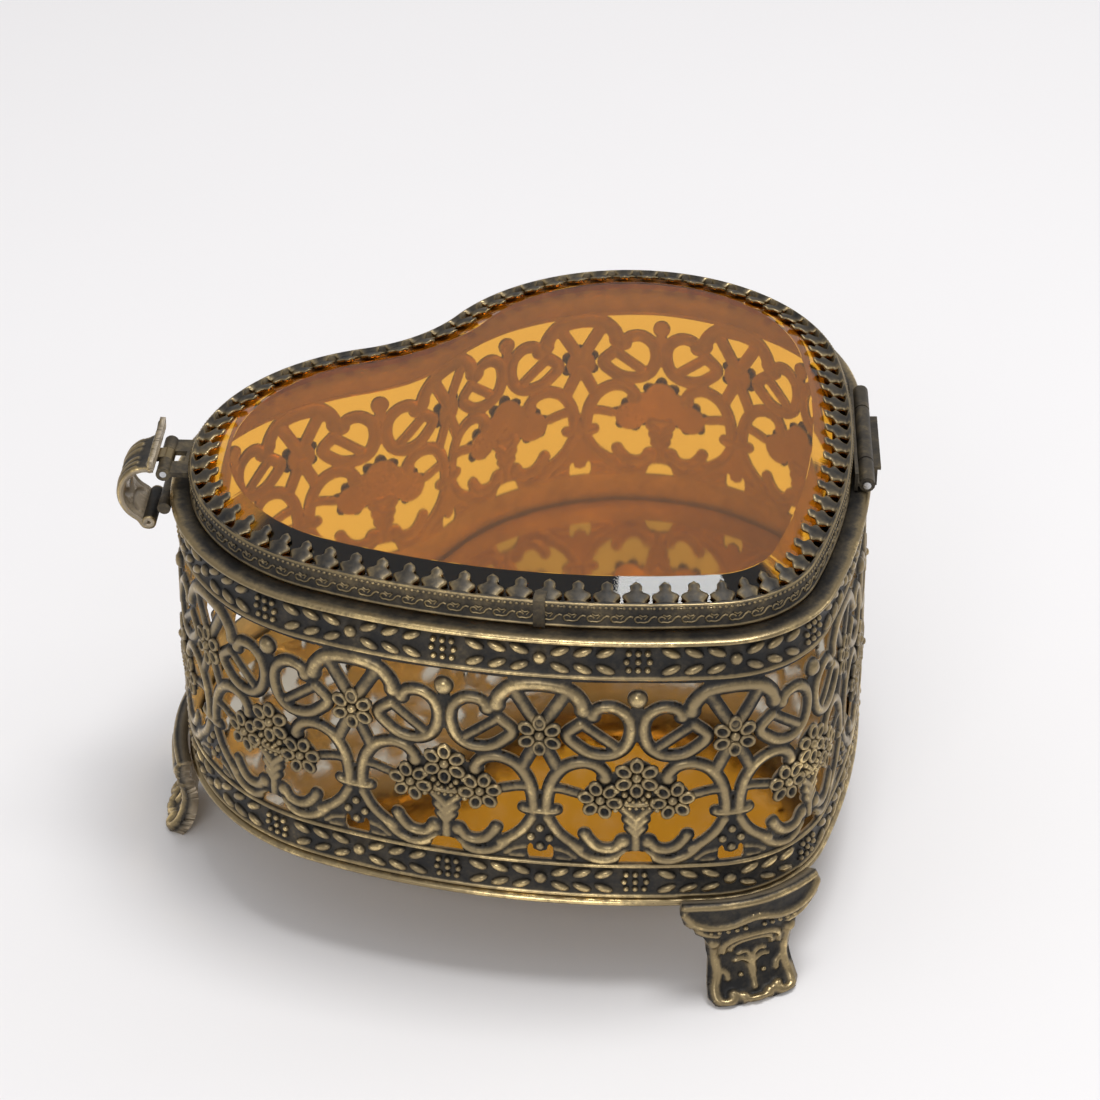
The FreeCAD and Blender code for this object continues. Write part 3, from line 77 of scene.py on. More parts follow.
def paint(mesh, name, values):
    """Stores one number at each point, for the materials to read."""
    mesh.attributes.new(name, "FLOAT", "POINT").data.foreach_set("value", values)


# %% [markdown]
# ## The outline
#
# The heart is four kinds of arc that run into one another: a tight one at the
# point, a long one up each side, a lobe, and a cleft that turns the other way.
# Three of the centres follow from the wall's box and the radii, and the side
# arc's centre is where it can touch both the lobe and the point.

# %% Heart outline
LOBE_RADIUS = 36.0
SIDE_RADIUS = 123.5
POINT_RADIUS = 19.3
CLEFT_RADIUS = 22.4
OUTLINE_STEP = 0.25

wall_low, wall_high = box_mm("filigree_wall")
lobe = np.array([wall_high[0] - LOBE_RADIUS, wall_high[1] - LOBE_RADIUS])
point = np.array([0.0, wall_low[1] + POINT_RADIUS])
cleft = np.array([0.0, lobe[1] + math.sqrt((LOBE_RADIUS + CLEFT_RADIUS) ** 2 - lobe[0] ** 2)])


def where_circles_meet(first, first_radius, second, second_radius):
    """The meeting point on the left of the line from the first centre to the second."""
    gap = second - first
    apart = np.linalg.norm(gap)
    along = (apart**2 + first_radius**2 - second_radius**2) / (2 * apart)
    across = math.sqrt(first_radius**2 - along**2)
    return first + gap / apart * along + np.array([-gap[1], gap[0]]) / apart * across


side = where_circles_meet(point, SIDE_RADIUS - POINT_RADIUS, lobe, SIDE_RADIUS - LOBE_RADIUS)


def bearing(start, end):
    return math.atan2(end[1] - start[1], end[0] - start[0])


def arc(centre, radius, start, end, grow):
    """Points on an arc and their outward directions; grow is -1 where the arc curves inwards."""
    steps = max(2, round(abs(end - start) * radius / OUTLINE_STEP))
    angles = np.linspace(start, end, steps, endpoint=False)
    out = np.column_stack([np.cos(angles), np.sin(angles)])
    return centre + out * radius, out * grow


def heart(offset):
    """The outline that many millimetres outside the wall, with its outward directions.

    It runs anticlockwise from the point.
    """
    to_side, to_lobe, to_cleft = bearing(side, point), bearing(side, lobe), bearing(lobe, cleft)
    arcs = [
        arc(point, POINT_RADIUS + offset, -math.pi / 2, to_side, 1),
        arc(side, SIDE_RADIUS + offset, to_side, to_lobe, 1),
        arc(lobe, LOBE_RADIUS + offset, to_lobe, to_cleft, 1),
        arc(cleft, CLEFT_RADIUS - offset, to_cleft + math.pi, 1.5 * math.pi, -1),
    ]
    places, out = (np.vstack(rows) for rows in zip(*arcs))
    middle = cleft + [[0, offset - CLEFT_RADIUS]]
    places = np.vstack([places, middle, places[:0:-1] * [-1, 1]])
    out = np.vstack([out, [[0, 1]], out[:0:-1] * [-1, 1]])
    return places, out


def length_of(places):
    return np.linalg.norm(np.roll(places, -1, 0) - places, axis=1).sum()


def path_object(name, offset):
    """A closed curve for the trees to bend along. It is a tool, and is removed at the end."""
    places, _ = heart(offset)
    curve = bpy.data.curves.new(name, "CURVE")
    curve.dimensions = "3D"
    spline = curve.splines.new("POLY")
    spline.points.add(len(places) - 1)
    flat = np.column_stack([places * MM, np.zeros(len(places)), np.ones(len(places))])
    spline.points.foreach_set("co", flat.ravel())
    spline.use_cyclic_u = True
    return placed(name, curve)


LID_INSET = -2.8
wall_path = path_object("wall_path", 0.0)
lid_path = path_object("lid_path", LID_INSET)
WALL_LENGTH = length_of(heart(0.0)[0])
LID_LENGTH = length_of(heart(LID_INSET)[0])
print(f"round the wall {WALL_LENGTH:.1f} mm, round the lid {LID_LENGTH:.1f} mm")

# %% [markdown]
# ## Nodes written as sums
#
# A node's output is wrapped in a small class whose + - * / add Math nodes, so
# shader and geometry maths read like arithmetic. Every other node is added by
# one function that takes its type, its settings and what goes into its sockets.

# %% Node helpers
class Link:
    """One output of a node. Arithmetic on it adds Math nodes to the same tree."""

    def __init__(self, node, output=0):
        self.node, self.socket = node, node.outputs[output]

    def __getitem__(self, output):
        return Link(self.node, output)

    def math(self, operation, first, second=None):
        return add(self.node.id_data, "ShaderNodeMath", {"operation": operation}, {0: first, 1: second})

    def __add__(self, other):
        return self.math("ADD", self, other)

    def __sub__(self, other):
        return self.math("SUBTRACT", self, other)

    def __rsub__(self, other):
        return self.math("SUBTRACT", other, self)

    def __mul__(self, other):
        return self.math("MULTIPLY", self, other)

    def __truediv__(self, other):
        return self.math("DIVIDE", self, other)

    def __mod__(self, other):
        return self.math("FLOORED_MODULO", self, other)

    __radd__, __rmul__ = __add__, __mul__


def add(tree, kind, settings=None, inputs=None, output=0):
    """Adds a node, makes its settings, then fills its inputs with values or links."""
    node = tree.nodes.new(kind)
    for name, value in (settings or {}).items():
        setattr(node, name, value)
    for key, value in (inputs or {}).items():
        if isinstance(value, Link):
            tree.links.new(value.socket, node.inputs[key])
        elif value is not None:
            node.inputs[key].default_value = value
    return Link(node, output) if node.outputs else None


# %% [markdown]
# ## Bending a flat pattern round the heart
#
# A flat repeat has x along the wall, y outwards and z up. The tree lays copies
# of it on a straight line, realizes them, then moves each point: its x says how
# far round the path to go, its y how far out to step and its z how high. Copies
# meet exactly, so Merge by Distance closes the seams between them. An Array and
# a Curve modifier would do it too, but they twist the pattern where the path
# turns and can't be told how many copies go round.

# %% The tree that repeats and bends
def wrapping_tree():
    tree = bpy.data.node_groups.new("bend_round_path", "GeometryNodeTree")
    kinds = {
        "Flat repeat": "Geometry", "Path": "Object", "Repeats": "Int", "First": "Int",
        "Count": "Int", "Shift": "Float", "Metal": "Material",
    }
    for name, kind in kinds.items():
        tree.interface.new_socket(name, in_out="INPUT", socket_type="NodeSocket" + kind)
    tree.interface.new_socket("Bent", in_out="OUTPUT", socket_type="NodeSocketGeometry")
    given = add(tree, "NodeGroupInput")
    path = add(
        tree, "GeometryNodeObjectInfo", {"transform_space": "ORIGINAL"},
        {"Object": given["Path"]}, "Geometry",
    )
    length = add(tree, "GeometryNodeCurveLength", None, {"Curve": path})
    pitch = length / given["Repeats"]
    step = add(tree, "ShaderNodeCombineXYZ", None, {"X": pitch})
    start = add(tree, "ShaderNodeCombineXYZ", None, {"X": pitch * given["First"] + given["Shift"]})
    line = add(
        tree, "GeometryNodeMeshLine", {"mode": "OFFSET"},
        {"Count": given["Count"], "Start Location": start, "Offset": step},
    )
    flat = given["Flat repeat"]
    copies = add(tree, "GeometryNodeInstanceOnPoints", None, {"Points": line, "Instance": flat})
    joined = add(tree, "GeometryNodeRealizeInstances", None, {"Geometry": copies})
    place = add(tree, "ShaderNodeSeparateXYZ", None, {"Vector": add(tree, "GeometryNodeInputPosition")})
    sample = add(
        tree, "GeometryNodeSampleCurve", {"mode": "LENGTH"},
        {"Curves": path, "Length": place["X"] % length}, "Position",
    )
    out = add(
        tree, "ShaderNodeVectorMath", {"operation": "CROSS_PRODUCT"},
        {0: sample["Tangent"], 1: (0.0, 0.0, 1.0)},
    )
    step_out = add(tree, "ShaderNodeVectorMath", {"operation": "SCALE"}, {0: out, "Scale": place["Y"]})
    rise = add(tree, "ShaderNodeCombineXYZ", None, {"Z": place["Z"]})
    moved = add(tree, "ShaderNodeVectorMath", {"operation": "ADD"}, {0: sample, 1: step_out})
    moved = add(tree, "ShaderNodeVectorMath", {"operation": "ADD"}, {0: moved, 1: rise})
    bent = add(tree, "GeometryNodeSetPosition", None, {"Geometry": joined, "Position": moved})
    closed = add(tree, "GeometryNodeMergeByDistance", None, {"Geometry": bent, "Distance": 0.004 * MM})
    dressed = add(tree, "GeometryNodeSetMaterial", None, {"Geometry": closed, "Material": given["Metal"]})
    add(tree, "NodeGroupOutput", None, {"Bent": dressed})
    return tree


BEND = wrapping_tree()


def plain_result(worker, name):
    """The evaluated shape of a worker object as a plain object; the worker is removed."""
    bpy.context.view_layer.update()
    mesh = bpy.data.meshes.new_from_object(worker.evaluated_get(bpy.context.evaluated_depsgraph_get()))
    bpy.data.objects.remove(worker)
    mesh.name = name
    return placed(name, mesh)


def bent(name, flat, material, repeats, path=None, first=0, count=None, shift=0.0):
    """One piece: copies of a flat mesh, bent round the heart."""
    worker = placed(name + "_flat", flat)
    modifier = worker.modifiers.new("bend", "NODES")
    modifier.node_group = BEND
    given = {
        "Path": path or wall_path, "Repeats": repeats, "First": first,
        "Count": count or repeats, "Shift": shift * MM, "Metal": material,
    }
    for socket in BEND.interface.items_tree:
        if socket.name in given:
            modifier[socket.identifier] = given[socket.name]
    piece = plain_result(worker, name)
    print(f"{name}: {len(piece.data.polygons)} faces")
    return piece


def finish(piece, body, slot, *replaced):
    """Names the body a piece rides on and hides the CAD nodes it stands for; slot, its finish in the record,
    is not used.
    """
    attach(piece, body)
    if replaced:
        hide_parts(*replaced)
    return piece


# %% [markdown]
# ## The metals
#
# Old stamped brass is nearly black in its hollows and pale gold where hands have rubbed it; the palest gold
# on the highest crests is also a painted highlight. Each piece carries a number called wear at every point, 0
# in a hollow and 1 on a ridge, worked out where its shape is made. The material adds noise to it, so the
# patina breaks up as it does on real metal. The back of the sheet is painted paler and less metallic: painted
# light for the dim inside of the casket. Baking ambient occlusion would find hollows too, but it is slow and
# the export can't keep it.

# %% Brass with a patina
def mix_colours(tree, factor, first, second):
    return add(tree, "ShaderNodeMix", {"data_type": "RGBA"}, {0: factor, 6: first, 7: second}, 2)


def noise(tree, place, scale, detail=4.0, roughness=0.6):
    given = {"Vector": place, "Scale": scale, "Detail": detail, "Roughness": roughness}
    return add(tree, "ShaderNodeTexNoise", None, given)


def bumps(tree, strength, distance, height):
    """A bump that deep, in millimetres, from a height between 0 and 1."""
    given = {"Strength": strength, "Distance": distance * MM, "Height": height}
    return add(tree, "ShaderNodeBump", None, given)


def smooth_step(tree, value, low, high):
    return add(
        tree, "ShaderNodeMapRange", {"interpolation_type": "SMOOTHSTEP"},
        {"Value": value, "From Min": low, "From Max": high, "To Min": 0.0, "To Max": 1.0},
    )


def new_material(name):
    material = bpy.data.materials.new(name)
    material.use_nodes = True
    material.node_tree.nodes.clear()
    tree = material.node_tree
    place = add(tree, "ShaderNodeTexCoord", None, None, "Object")
    return material, tree, place


def finish_material(material, tree, shader):
    add(tree, "ShaderNodeOutputMaterial", None, {"Surface": shader})
    return material


PATINA = (0.008, 0.0075, 0.007, 1)
UMBER = (0.05, 0.040, 0.026, 1)
RUBBED = (0.30, 0.23, 0.125, 1)
# palest gold of the highest crests: rubbed brass, and also a painted highlight
RUBBED_GOLD_AND_HIGHLIGHT = (0.82, 0.62, 0.30, 1)
# paler colour for the back of the sheet: painted light for the dim inside of the casket
PAINTED_LIGHT_INSIDE = (0.56, 0.47, 0.35, 1)


def old_brass(name, base_wear=0.0, low=0.2, high=0.95):
    """Stamped brass. base_wear stands in on pieces that carry no wear of their own."""
    material, tree, place = new_material(name)
    cloud = noise(tree, place, 45.0)
    blotch = noise(tree, place, 260.0)
    grain = noise(tree, place, 1500.0, 3.0)
    worn = add(tree, "ShaderNodeAttribute", {"attribute_name": "wear"}, None, "Fac") + base_wear
    uneven = worn + (cloud - 0.5) * 0.7 + (blotch - 0.5) * 1.1 + (grain - 0.5) * 0.6
    rubbed = smooth_step(tree, uneven, low, high)
    # painted highlight: the highest crests, broken up by noise, get the palest gold, partly rubbed brass and
    # partly painted highlight
    bright = smooth_step(tree, uneven + (cloud - 0.5) * 0.9, 0.95, 1.45)
    inside = add(tree, "ShaderNodeAttribute", {"attribute_name": "inside"}, None, "Fac")
    colour = mix_colours(tree, smooth_step(tree, uneven, -0.15, 0.35), PATINA, UMBER)
    colour = mix_colours(tree, rubbed, colour, RUBBED)
    colour = mix_colours(tree, bright, colour, RUBBED_GOLD_AND_HIGHLIGHT)
    # painted light: the back of the sheet, inside the casket, is mixed toward a paler colour and made less
    # metallic so the dim inside reads as lit
    colour = mix_colours(tree, inside * (0.5 + blotch * 0.6), colour, PAINTED_LIGHT_INSIDE)
    dents = blotch * 0.7 + grain * 0.3
    shader = add(tree, "ShaderNodeBsdfPrincipled", None, {
        "Base Color": colour,
        "Metallic": (0.35 + rubbed * 0.65) * (1.0 - inside * 0.85),
        "Roughness": 0.52 - rubbed * 0.2 - bright * 0.1 + (grain - 0.5) * 0.25,
        "Normal": bumps(tree, 0.5, 0.18, dents),
    })
    return finish_material(material, tree, shader)


antique_brass = old_brass("antique_brass")
cast_brass = old_brass("cast_brass", 0.05, 0.25, 0.85)
fitting_brass = old_brass("fitting_brass", 0.3)

# %% [markdown]
# ## A kit for flat patterns
#
# Small raised things, such as beads, leaves, petals and bosses, are mounds: a
# few rings of points, each with its own height and wear. Rails and lines are
# mouldings, a profile carried along x. Both go into one list of points and
# faces, which becomes the flat repeat.

# %% Flat patterns
SHEET = 0.5
DOME = ((1.0, 0.0, 0.0), (0.88, 0.5, 0.55), (0.5, 0.9, 1.0), (0.0, 1.0, 1.0))
PETAL = (
    (1.0, 0.0, 0.0), (0.93, 0.62, 0.75), (0.72, 0.8, 1.0),
    (0.54, 0.62, 0.5), (0.42, 0.05, 0.0), (0.0, 0.0, 0.0),
)


class Pattern:
    """Points, faces and wear of a flat pattern: x along the wall, y outwards, z up."""

    def __init__(self):
        self.points, self.faces, self.wear = [], [], []

    def put(self, points, faces, wear):
        start = len(self.points)
        self.points += [tuple(p) for p in points]
        self.faces += [tuple(start + i for i in face) for face in faces]
        self.wear += list(wear)

    def mound(self, x, z, size, height, base=0.0, angle=0.0, profile=DOME, sides=10):
        """Rings of points over a spot: size is half width and half height, base is where it stands."""
        turn, points, wear = math.radians(angle), [], []
        along, over = math.cos(turn), math.sin(turn)
        for share, rise, worn in profile:
            for i in range(sides if share else 1):
                a = 2 * math.pi * i / sides
                u, v = share * size[0] * math.cos(a), share * size[1] * math.sin(a)
                points.append((x + u * along - v * over, base + height * rise, z + u * over + v * along))
                wear.append(worn)
        faces, last = [], (len(profile) - 1) * sides
        for ring in range(len(profile) - 1):
            for i in range(sides):
                a, b = ring * sides + i, ring * sides + (i + 1) % sides
                faces.append((b, a, last) if ring == len(profile) - 2 else (b, a, a + sides, b + sides))
        self.put(points, faces, wear)

    def moulding(self, profile, width, steps):
        """Carries a closed profile of (y, z, wear) along x; the profile runs clockwise seen from +x."""
        points, wear, faces, n = [], [], [], len(profile)
        for x in np.linspace(-width / 2, width / 2, steps + 1):
            points += [(x, y, z) for y, z, _ in profile]
            wear += [worn for *_, worn in profile]
        for step in range(steps):
            for i in range(n):
                a, b = step * n + i, step * n + (i + 1) % n
                faces.append((a, b, b + n, a + n))
        self.put(points, faces, wear)

    def wire(self, path, radius, height, base=0.0):
        """A raised line with a rounded back along a path of (x, z) points."""
        path = np.array(path, float)
        ahead = np.gradient(path, axis=0)
        across = np.column_stack([-ahead[:, 1], ahead[:, 0]])
        across /= np.linalg.norm(across, axis=1)[:, None]
        points, wear = [], []
        for (x, z), (u, v) in zip(path, across):
            for share, rise, worn in ((1, 0, 0.1), (0.6, 0.8, 0.9), (-0.6, 0.8, 0.9), (-1, 0, 0.1)):
                points.append((x + share * radius * u, base + height * rise, z + share * radius * v))
                wear.append(worn)
        first = [4 * i + k for i in range(len(path) - 1) for k in range(3)]
        faces = [(a, a + 1, a + 5, a + 4) for a in first]
        self.put(points, faces, wear)

    def mesh(self, name, shape=None, painted_light_behind=False):
        """The finished flat mesh in metres; shape moves its points first.

        The last argument marks the back of the sheet, which the material paints paler and less metallic than
        the front: painted light standing in for the light inside the casket.
        """
        points = np.array(self.points, float)
        points = shape(points) if shape else points
        mesh = bpy.data.meshes.new(name)
        mesh.from_pydata((points * MM).tolist(), [], self.faces)
        paint(mesh, "wear", self.wear)
        if painted_light_behind:
            behind = np.array(self.points, float)[:, 1] <= -SHEET
            paint(mesh, "inside", behind.astype(float))
        mesh.shade_smooth()
        return mesh


def smooth_path(corners, per=6):
    """A curve through the corners (Catmull-Rom), as points."""
    corners = np.array(corners, float)
    if len(corners) < 3:
        return corners
    ends = np.vstack([2 * corners[0] - corners[1], corners, 2 * corners[-1] - corners[-2]])
    t = np.linspace(0, 1, per, endpoint=False)[:, None]
    runs = []
    for a, b, c, d in zip(ends, ends[1:], ends[2:], ends[3:]):
        bend, twist = 2 * a - 5 * b + 4 * c - d, 3 * b - a - 3 * c + d
        runs.append(0.5 * (2 * b + (c - a) * t + bend * t**2 + twist * t**3))
    return np.vstack(runs + [corners[-1:]])


# %% [markdown]
# ## Stamped sheet with holes
#
# The pierced wall is a thin sheet whose scrolls stand proud of it and whose
# gaps are punched out. It could be cut with Booleans, which leave long thin
# faces that shade badly when bent. Here the drawing is kept as distances: each
# grid point knows how far it is from the nearest edge of metal, and how high
# the metal stands there. Grid points next to an edge are pulled onto it, cells
# in a gap are left out, and the back of the sheet follows the front, as it does
# in pressed metal.

# %% Distances to a drawing
PULL_REACH = 0.72  # grid points within this share of a cell of an edge are pulled onto it


def distance_to_path(places, path):
    """How far each place is from a run of straight pieces, or from one point."""
    path = np.array(path, float)
    if len(path) == 1:
        return np.linalg.norm(places - path[0], axis=1)
    start, run = path[:-1], np.diff(path, axis=0)
    reach = places[:, None] - start[None]
    share = np.clip((reach * run).sum(2) / np.maximum((run**2).sum(1), 1e-9), 0, 1)
    return np.linalg.norm(reach - share[..., None] * run, axis=2).min(1)


def distance_to_plate(places, corners):
    """Signed distance to a closed shape: negative inside it."""
    corners = np.array(corners, float)
    away = distance_to_path(places, np.vstack([corners, corners[:1]]))
    x, y = places.T
    inside = np.zeros(len(places), bool)
    for (ax, ay), (bx, by) in zip(corners, np.roll(corners, -1, 0)):
        crosses = (ay > y) != (by > y)
        inside ^= crosses & (x < (bx - ax) * (y - ay) / (by - ay + 1e-12) + ax)
    return np.where(inside, -away, away)


def stamped(places, strokes, plates=(), holes=(), flange=0.3):
    """Edge distance, height and wear of a stamping drawn with rounded strokes on flat plates."""
    edge = np.full(len(places), 99.0)
    height = np.zeros(len(places))
    wear = np.zeros(len(places))
    for radius, rise, corners in strokes:
        away = distance_to_path(places, smooth_path(corners))
        edge = np.minimum(edge, away - radius - flange)
        body = np.clip(1 - (away / radius) ** 2, 0, 1)
        height = np.maximum(height, rise * body**0.7)
        wear = np.maximum(wear, body**0.8 * min(1.0, rise / 0.5))
    for corners in plates:
        edge = np.minimum(edge, distance_to_plate(places, corners))
    for corners in holes:
        edge = np.maximum(edge, -distance_to_plate(places, corners))
    return edge, height, wear


def sheet_mesh(name, across, up, field, thickness, shape, keep_sides=True):
    """A two-sided sheet over a grid. field gives edge, height and wear; shape bends (x, y, z) points."""
    columns, rows = len(across), len(up)
    x, z = (grid.ravel() for grid in np.meshgrid(across, up, indexing="ij"))
    edge, height, wear = field(np.column_stack([x, z]))
    cell = across[1] - across[0]
    slope_x, slope_z = np.gradient(edge.reshape(columns, rows), across, up)
    steep = np.maximum(slope_x**2 + slope_z**2, 0.25).ravel()
    near = np.abs(edge) < PULL_REACH * cell
    pull = np.where(near, -edge, 0)
    side = np.repeat(np.isin(np.arange(columns), (0, columns - 1)), rows)
    end = np.tile(np.isin(np.arange(rows), (0, rows - 1)), columns)
    x = x + np.where(side & keep_sides, 0, pull * slope_x.ravel() / steep)
    z = z + np.where(end, 0, pull * slope_z.ravel() / steep)
    height = np.where(near, 0, height)
    usable = edge < PULL_REACH * cell
    number = np.arange(columns * rows).reshape(columns, rows)
    corners = np.stack([number[:-1, :-1], number[:-1, 1:], number[1:, 1:], number[1:, :-1]], -1)
    corners = corners.reshape(-1, 4)
    good = usable[corners]
    middle = (np.where(good, edge[corners], 0).sum(1) / np.maximum(good.sum(1), 1)) < 0.1 * cell
    quads = corners[(good.sum(1) == 4) & middle]
    partial = corners[(good.sum(1) == 3) & middle]
    three = partial[usable[partial]].reshape(-1, 3)
    front = [tuple(face) for face in quads] + [tuple(face) for face in three]
    once = {}
    for face in front:
        for pair in zip(face, face[1:] + face[:1]):
            if (pair[1], pair[0]) in once:
                del once[(pair[1], pair[0])]
            else:
                once[pair] = True
    total = columns * rows
    walls = [(b, a, a + total, b + total) for a, b in once if not (keep_sides and side[a] and side[b])]
    faces = front + [tuple(i + total for i in reversed(face)) for face in front] + walls
    used = np.unique(np.concatenate([np.array(face) for face in faces]))
    fresh = np.full(2 * total, -1)
    fresh[used] = np.arange(len(used))
    back = height * 0.8 - thickness
    points = np.vstack([np.column_stack([x, height, z]), np.column_stack([x, back, z])])[used]
    faces = [tuple(int(fresh[i]) for i in face) for face in faces]
    mesh = bpy.data.meshes.new(name)
    mesh.from_pydata((shape(points) * MM).tolist(), [], faces)
    paint(mesh, "wear", np.concatenate([wear, 1 - wear])[used])
    # the back points are marked for the paler painted light of the inside
    paint(mesh, "inside", np.concatenate([np.zeros(total), np.ones(total)])[used])
    mesh.shade_smooth()
    return mesh


# %% [markdown]
# ## The openwork wall
#
# One repeat is a column with a six-petalled flower on crossed straps under an
# arch, and half a basket of flowers at each side. It is the same on both sides
# of either column, so only the strip from one column to the next is drawn, and
# every place is folded onto it before its distances are measured.

# %% Openwork drawing
REPEATS = 12
COLUMN_SHIFT = 0.70
PITCH = WALL_LENGTH / REPEATS
DRAWN_HALF = 14.2
OPEN_FOOT, OPEN_TOP = 24.1, 57.2
GRID = 0.25

OPENWORK = [
    # arch over the flower, with a knob at each end
    (1.0, 0.62, [(6.4, 27.5), (5.9, 29.1), (4.3, 30.8), (2.2, 31.5), (0, 31.7)]),
    (1.15, 0.7, [(6.4, 27.6)]),
    # crossed straps behind the flower
    (0.8, 0.35, [(3.7, 30.2), (0.2, 24.4)]),
    (0.75, 0.35, [(0.3, 22.0), (2.5, 17.4)]),
    # the loop, its tip and its slanting bar
    (0.78, 0.6, [
        (7.6, 26.9), (8.8, 28.1), (10.9, 28.2), (12.8, 26.7), (13.3, 24.1), (12.4, 21.4), (10.3, 20.0),
        (7.6, 20.1), (5.6, 21.3), (4.0, 23.3), (6.0, 25.3),
    ]),
    (1.0, 0.7, [(7.7, 26.8)]),
    (0.58, 0.4, [(6.0, 25.3), (11.0, 21.4)]),
    # the C scroll round the basket, with its curl and side branch
    (0.78, 0.55, [
        (0.95, 9.4), (1.1, 12.2), (1.9, 15.2), (3.6, 17.5),
        (6.0, 18.5), (8.2, 18.1), (9.5, 16.7), (9.6, 15.9),
    ]),
    (1.05, 0.62, [(9.6, 15.9)]),
    (0.5, 0.35, [(1.9, 13.6), (3.4, 13.5), (5.6, 12.9)]),
    (0.62, 0.6, [(-0.1, 9.5), (2.0, 9.6), (2.5, 9.8)]),
    # strokes under the tie
    (0.72, 0.5, [(1.1, 8.2), (2.4, 5.9), (4.2, 4.1), (6.0, 3.0)]),
    (0.72, 0.5, [(4.4, 4.0), (6.4, 1.9), (8.6, 0.95), (10.6, 1.1), (12.6, 2.4)]),
    (0.78, 0.55, [(12.1, 4.3), (11.2, 3.2), (9.7, 2.9), (8.2, 3.4), (7.0, 4.8), (6.6, 5.6)]),
    (1.1, 0.62, [(12.4, 4.4)]),
    (0.45, 0.35, [(2.2, 2.7), (3.9, 2.2), (5.2, 1.2)]),
    (0.4, 0.3, [(2.6, 1.0), (4.4, 0.9)]),
    # the basket on its stem
    (0.75, 0.45, [(14.2, 8.4), (14.2, 3.2)]),
    (0.6, 0.5, [(14.2, 7.0), (12.9, 8.6)]),
    (0.55, 0.5, [(14.2, 5.6), (13.2, 7.0)]),
    (0.6, 0.5, [(14.2, 8.6), (12.4, 10.4)]),
    (0.7, 0.5, [(14.2, 4.6)]),
    (0.5, 0.5, [(12.6, 11.4), (14.2, 11.2)]),
]
GROUND = [
    [(-0.1, 8.8), (1.6, 8.2), (3.4, 5.0), (5.8, 2.8), (8.2, 0.9), (11.4, 0.2), (11.4, -0.4), (-0.1, -0.4)],
    [(12.0, 12.0), (11.6, 10.2), (13.4, 7.0), (13.5, 3.0), (14.5, 3.0), (14.5, 12.0)],
    [(11.0, 17.0), (10.6, 11.0), (14.5, 11.0), (14.5, 17.0)],
    [(13.3, 28.8), (13.5, 23.0), (14.5, 23.0), (14.5, 28.8)],
    [(-0.1, 33.4), (-0.1, 32.3), (14.5, 32.6), (14.5, 33.4)],
    [(-0.1, 0.25), (14.5, 0.1), (14.5, -0.4), (-0.1, -0.4)],
]
GAPS = [
    [(0, 0.5), (1.7, 0.5), (2.0, 1.3), (1.9, 2.9), (1.2, 3.5), (1.0, 2.3), (0, 1.9)],
    [(11.6, 0.4), (12.2, 2.0), (12.9, 2.6), (14.4, 2.7), (14.4, 0.4)],
]
FLOWER_DISCS = [
    ((0, 23.1), 2.6), ((14.2, 16.1), 2.9), ((8.9, 12.2), 2.7), ((14.2, 29.8), 1.5), ((12.0, 13.4), 2.2),
]


def openwork_field(places):
    """Folds places onto the drawn strip and measures the stamping there."""
    along = np.abs((places[:, 0] + PITCH / 2) % PITCH - PITCH / 2) * DRAWN_HALF / (PITCH / 2)
    folded = np.column_stack([along, places[:, 1] - OPEN_FOOT])
    edge, height, wear = stamped(folded, OPENWORK, GROUND, GAPS)
    for centre, radius in FLOWER_DISCS:
        edge = np.minimum(edge, np.linalg.norm(folded - centre, axis=1) - radius)
    return edge, height, wear


BELLY_LEVELS = (17.6, 20.0, 24.1, 32.0, 40.0, 50.0, 57.2, 62.6, 64.2)
BELLY = (0.3, 0.6, 0.75, 0.65, 0.4, 0.05, -0.3, -0.4, -0.4)
GROUND_DEPTH = -0.35


def bellied(points):
    """The wall swells a little near its foot, as it was pressed."""
    moved = points.copy()
    moved[:, 1] += np.interp(points[:, 2], BELLY_LEVELS, BELLY) + GROUND_DEPTH
    return moved


across = np.linspace(-PITCH / 2, PITCH / 2, round(PITCH / GRID) + 1)
up = np.linspace(OPEN_FOOT, OPEN_TOP, round((OPEN_TOP - OPEN_FOOT) / GRID) + 1)
openwork_flat = sheet_mesh("openwork_flat", across, up, openwork_field, SHEET, bellied)
print("one repeat of openwork:", len(openwork_flat.polygons), "faces")

# %% Openwork pieces
STRIPS = ("right", "back", "left")
PER_STRIP = REPEATS // len(STRIPS)
for number, name in enumerate(STRIPS):
    strip = bent(
        "openwork_" + name, openwork_flat, antique_brass, REPEATS,
        first=number * PER_STRIP, count=PER_STRIP, shift=COLUMN_SHIFT * PITCH,
    )
    finish(strip, "case", "antique_brass", *(["filigree_wall"] if number == 0 else []))

# %% [markdown]
# ## Flowers, beads and the basket
#
# The flowers are too fine for the sheet's grid, so each is six petals with a
# raised rim round a dark pit, made of mounds. One repeat holds four of them and
# the small beads, and the same tree carries them round.

# %% Flowers
def flower(pattern, x, z, radius, base=0.0, turn=90.0):
    for k in range(6):
        a = math.radians(turn + 60 * k)
        reach = 0.62 * radius
        pattern.mound(
            x + reach * math.cos(a), z + reach * math.sin(a), (0.40 * radius, 0.315 * radius),
            0.75, base, turn + 60 * k, PETAL, 10,
        )
    pattern.mound(x, z, (0.24 * radius, 0.24 * radius), 1.0, base, 0, DOME, 8)


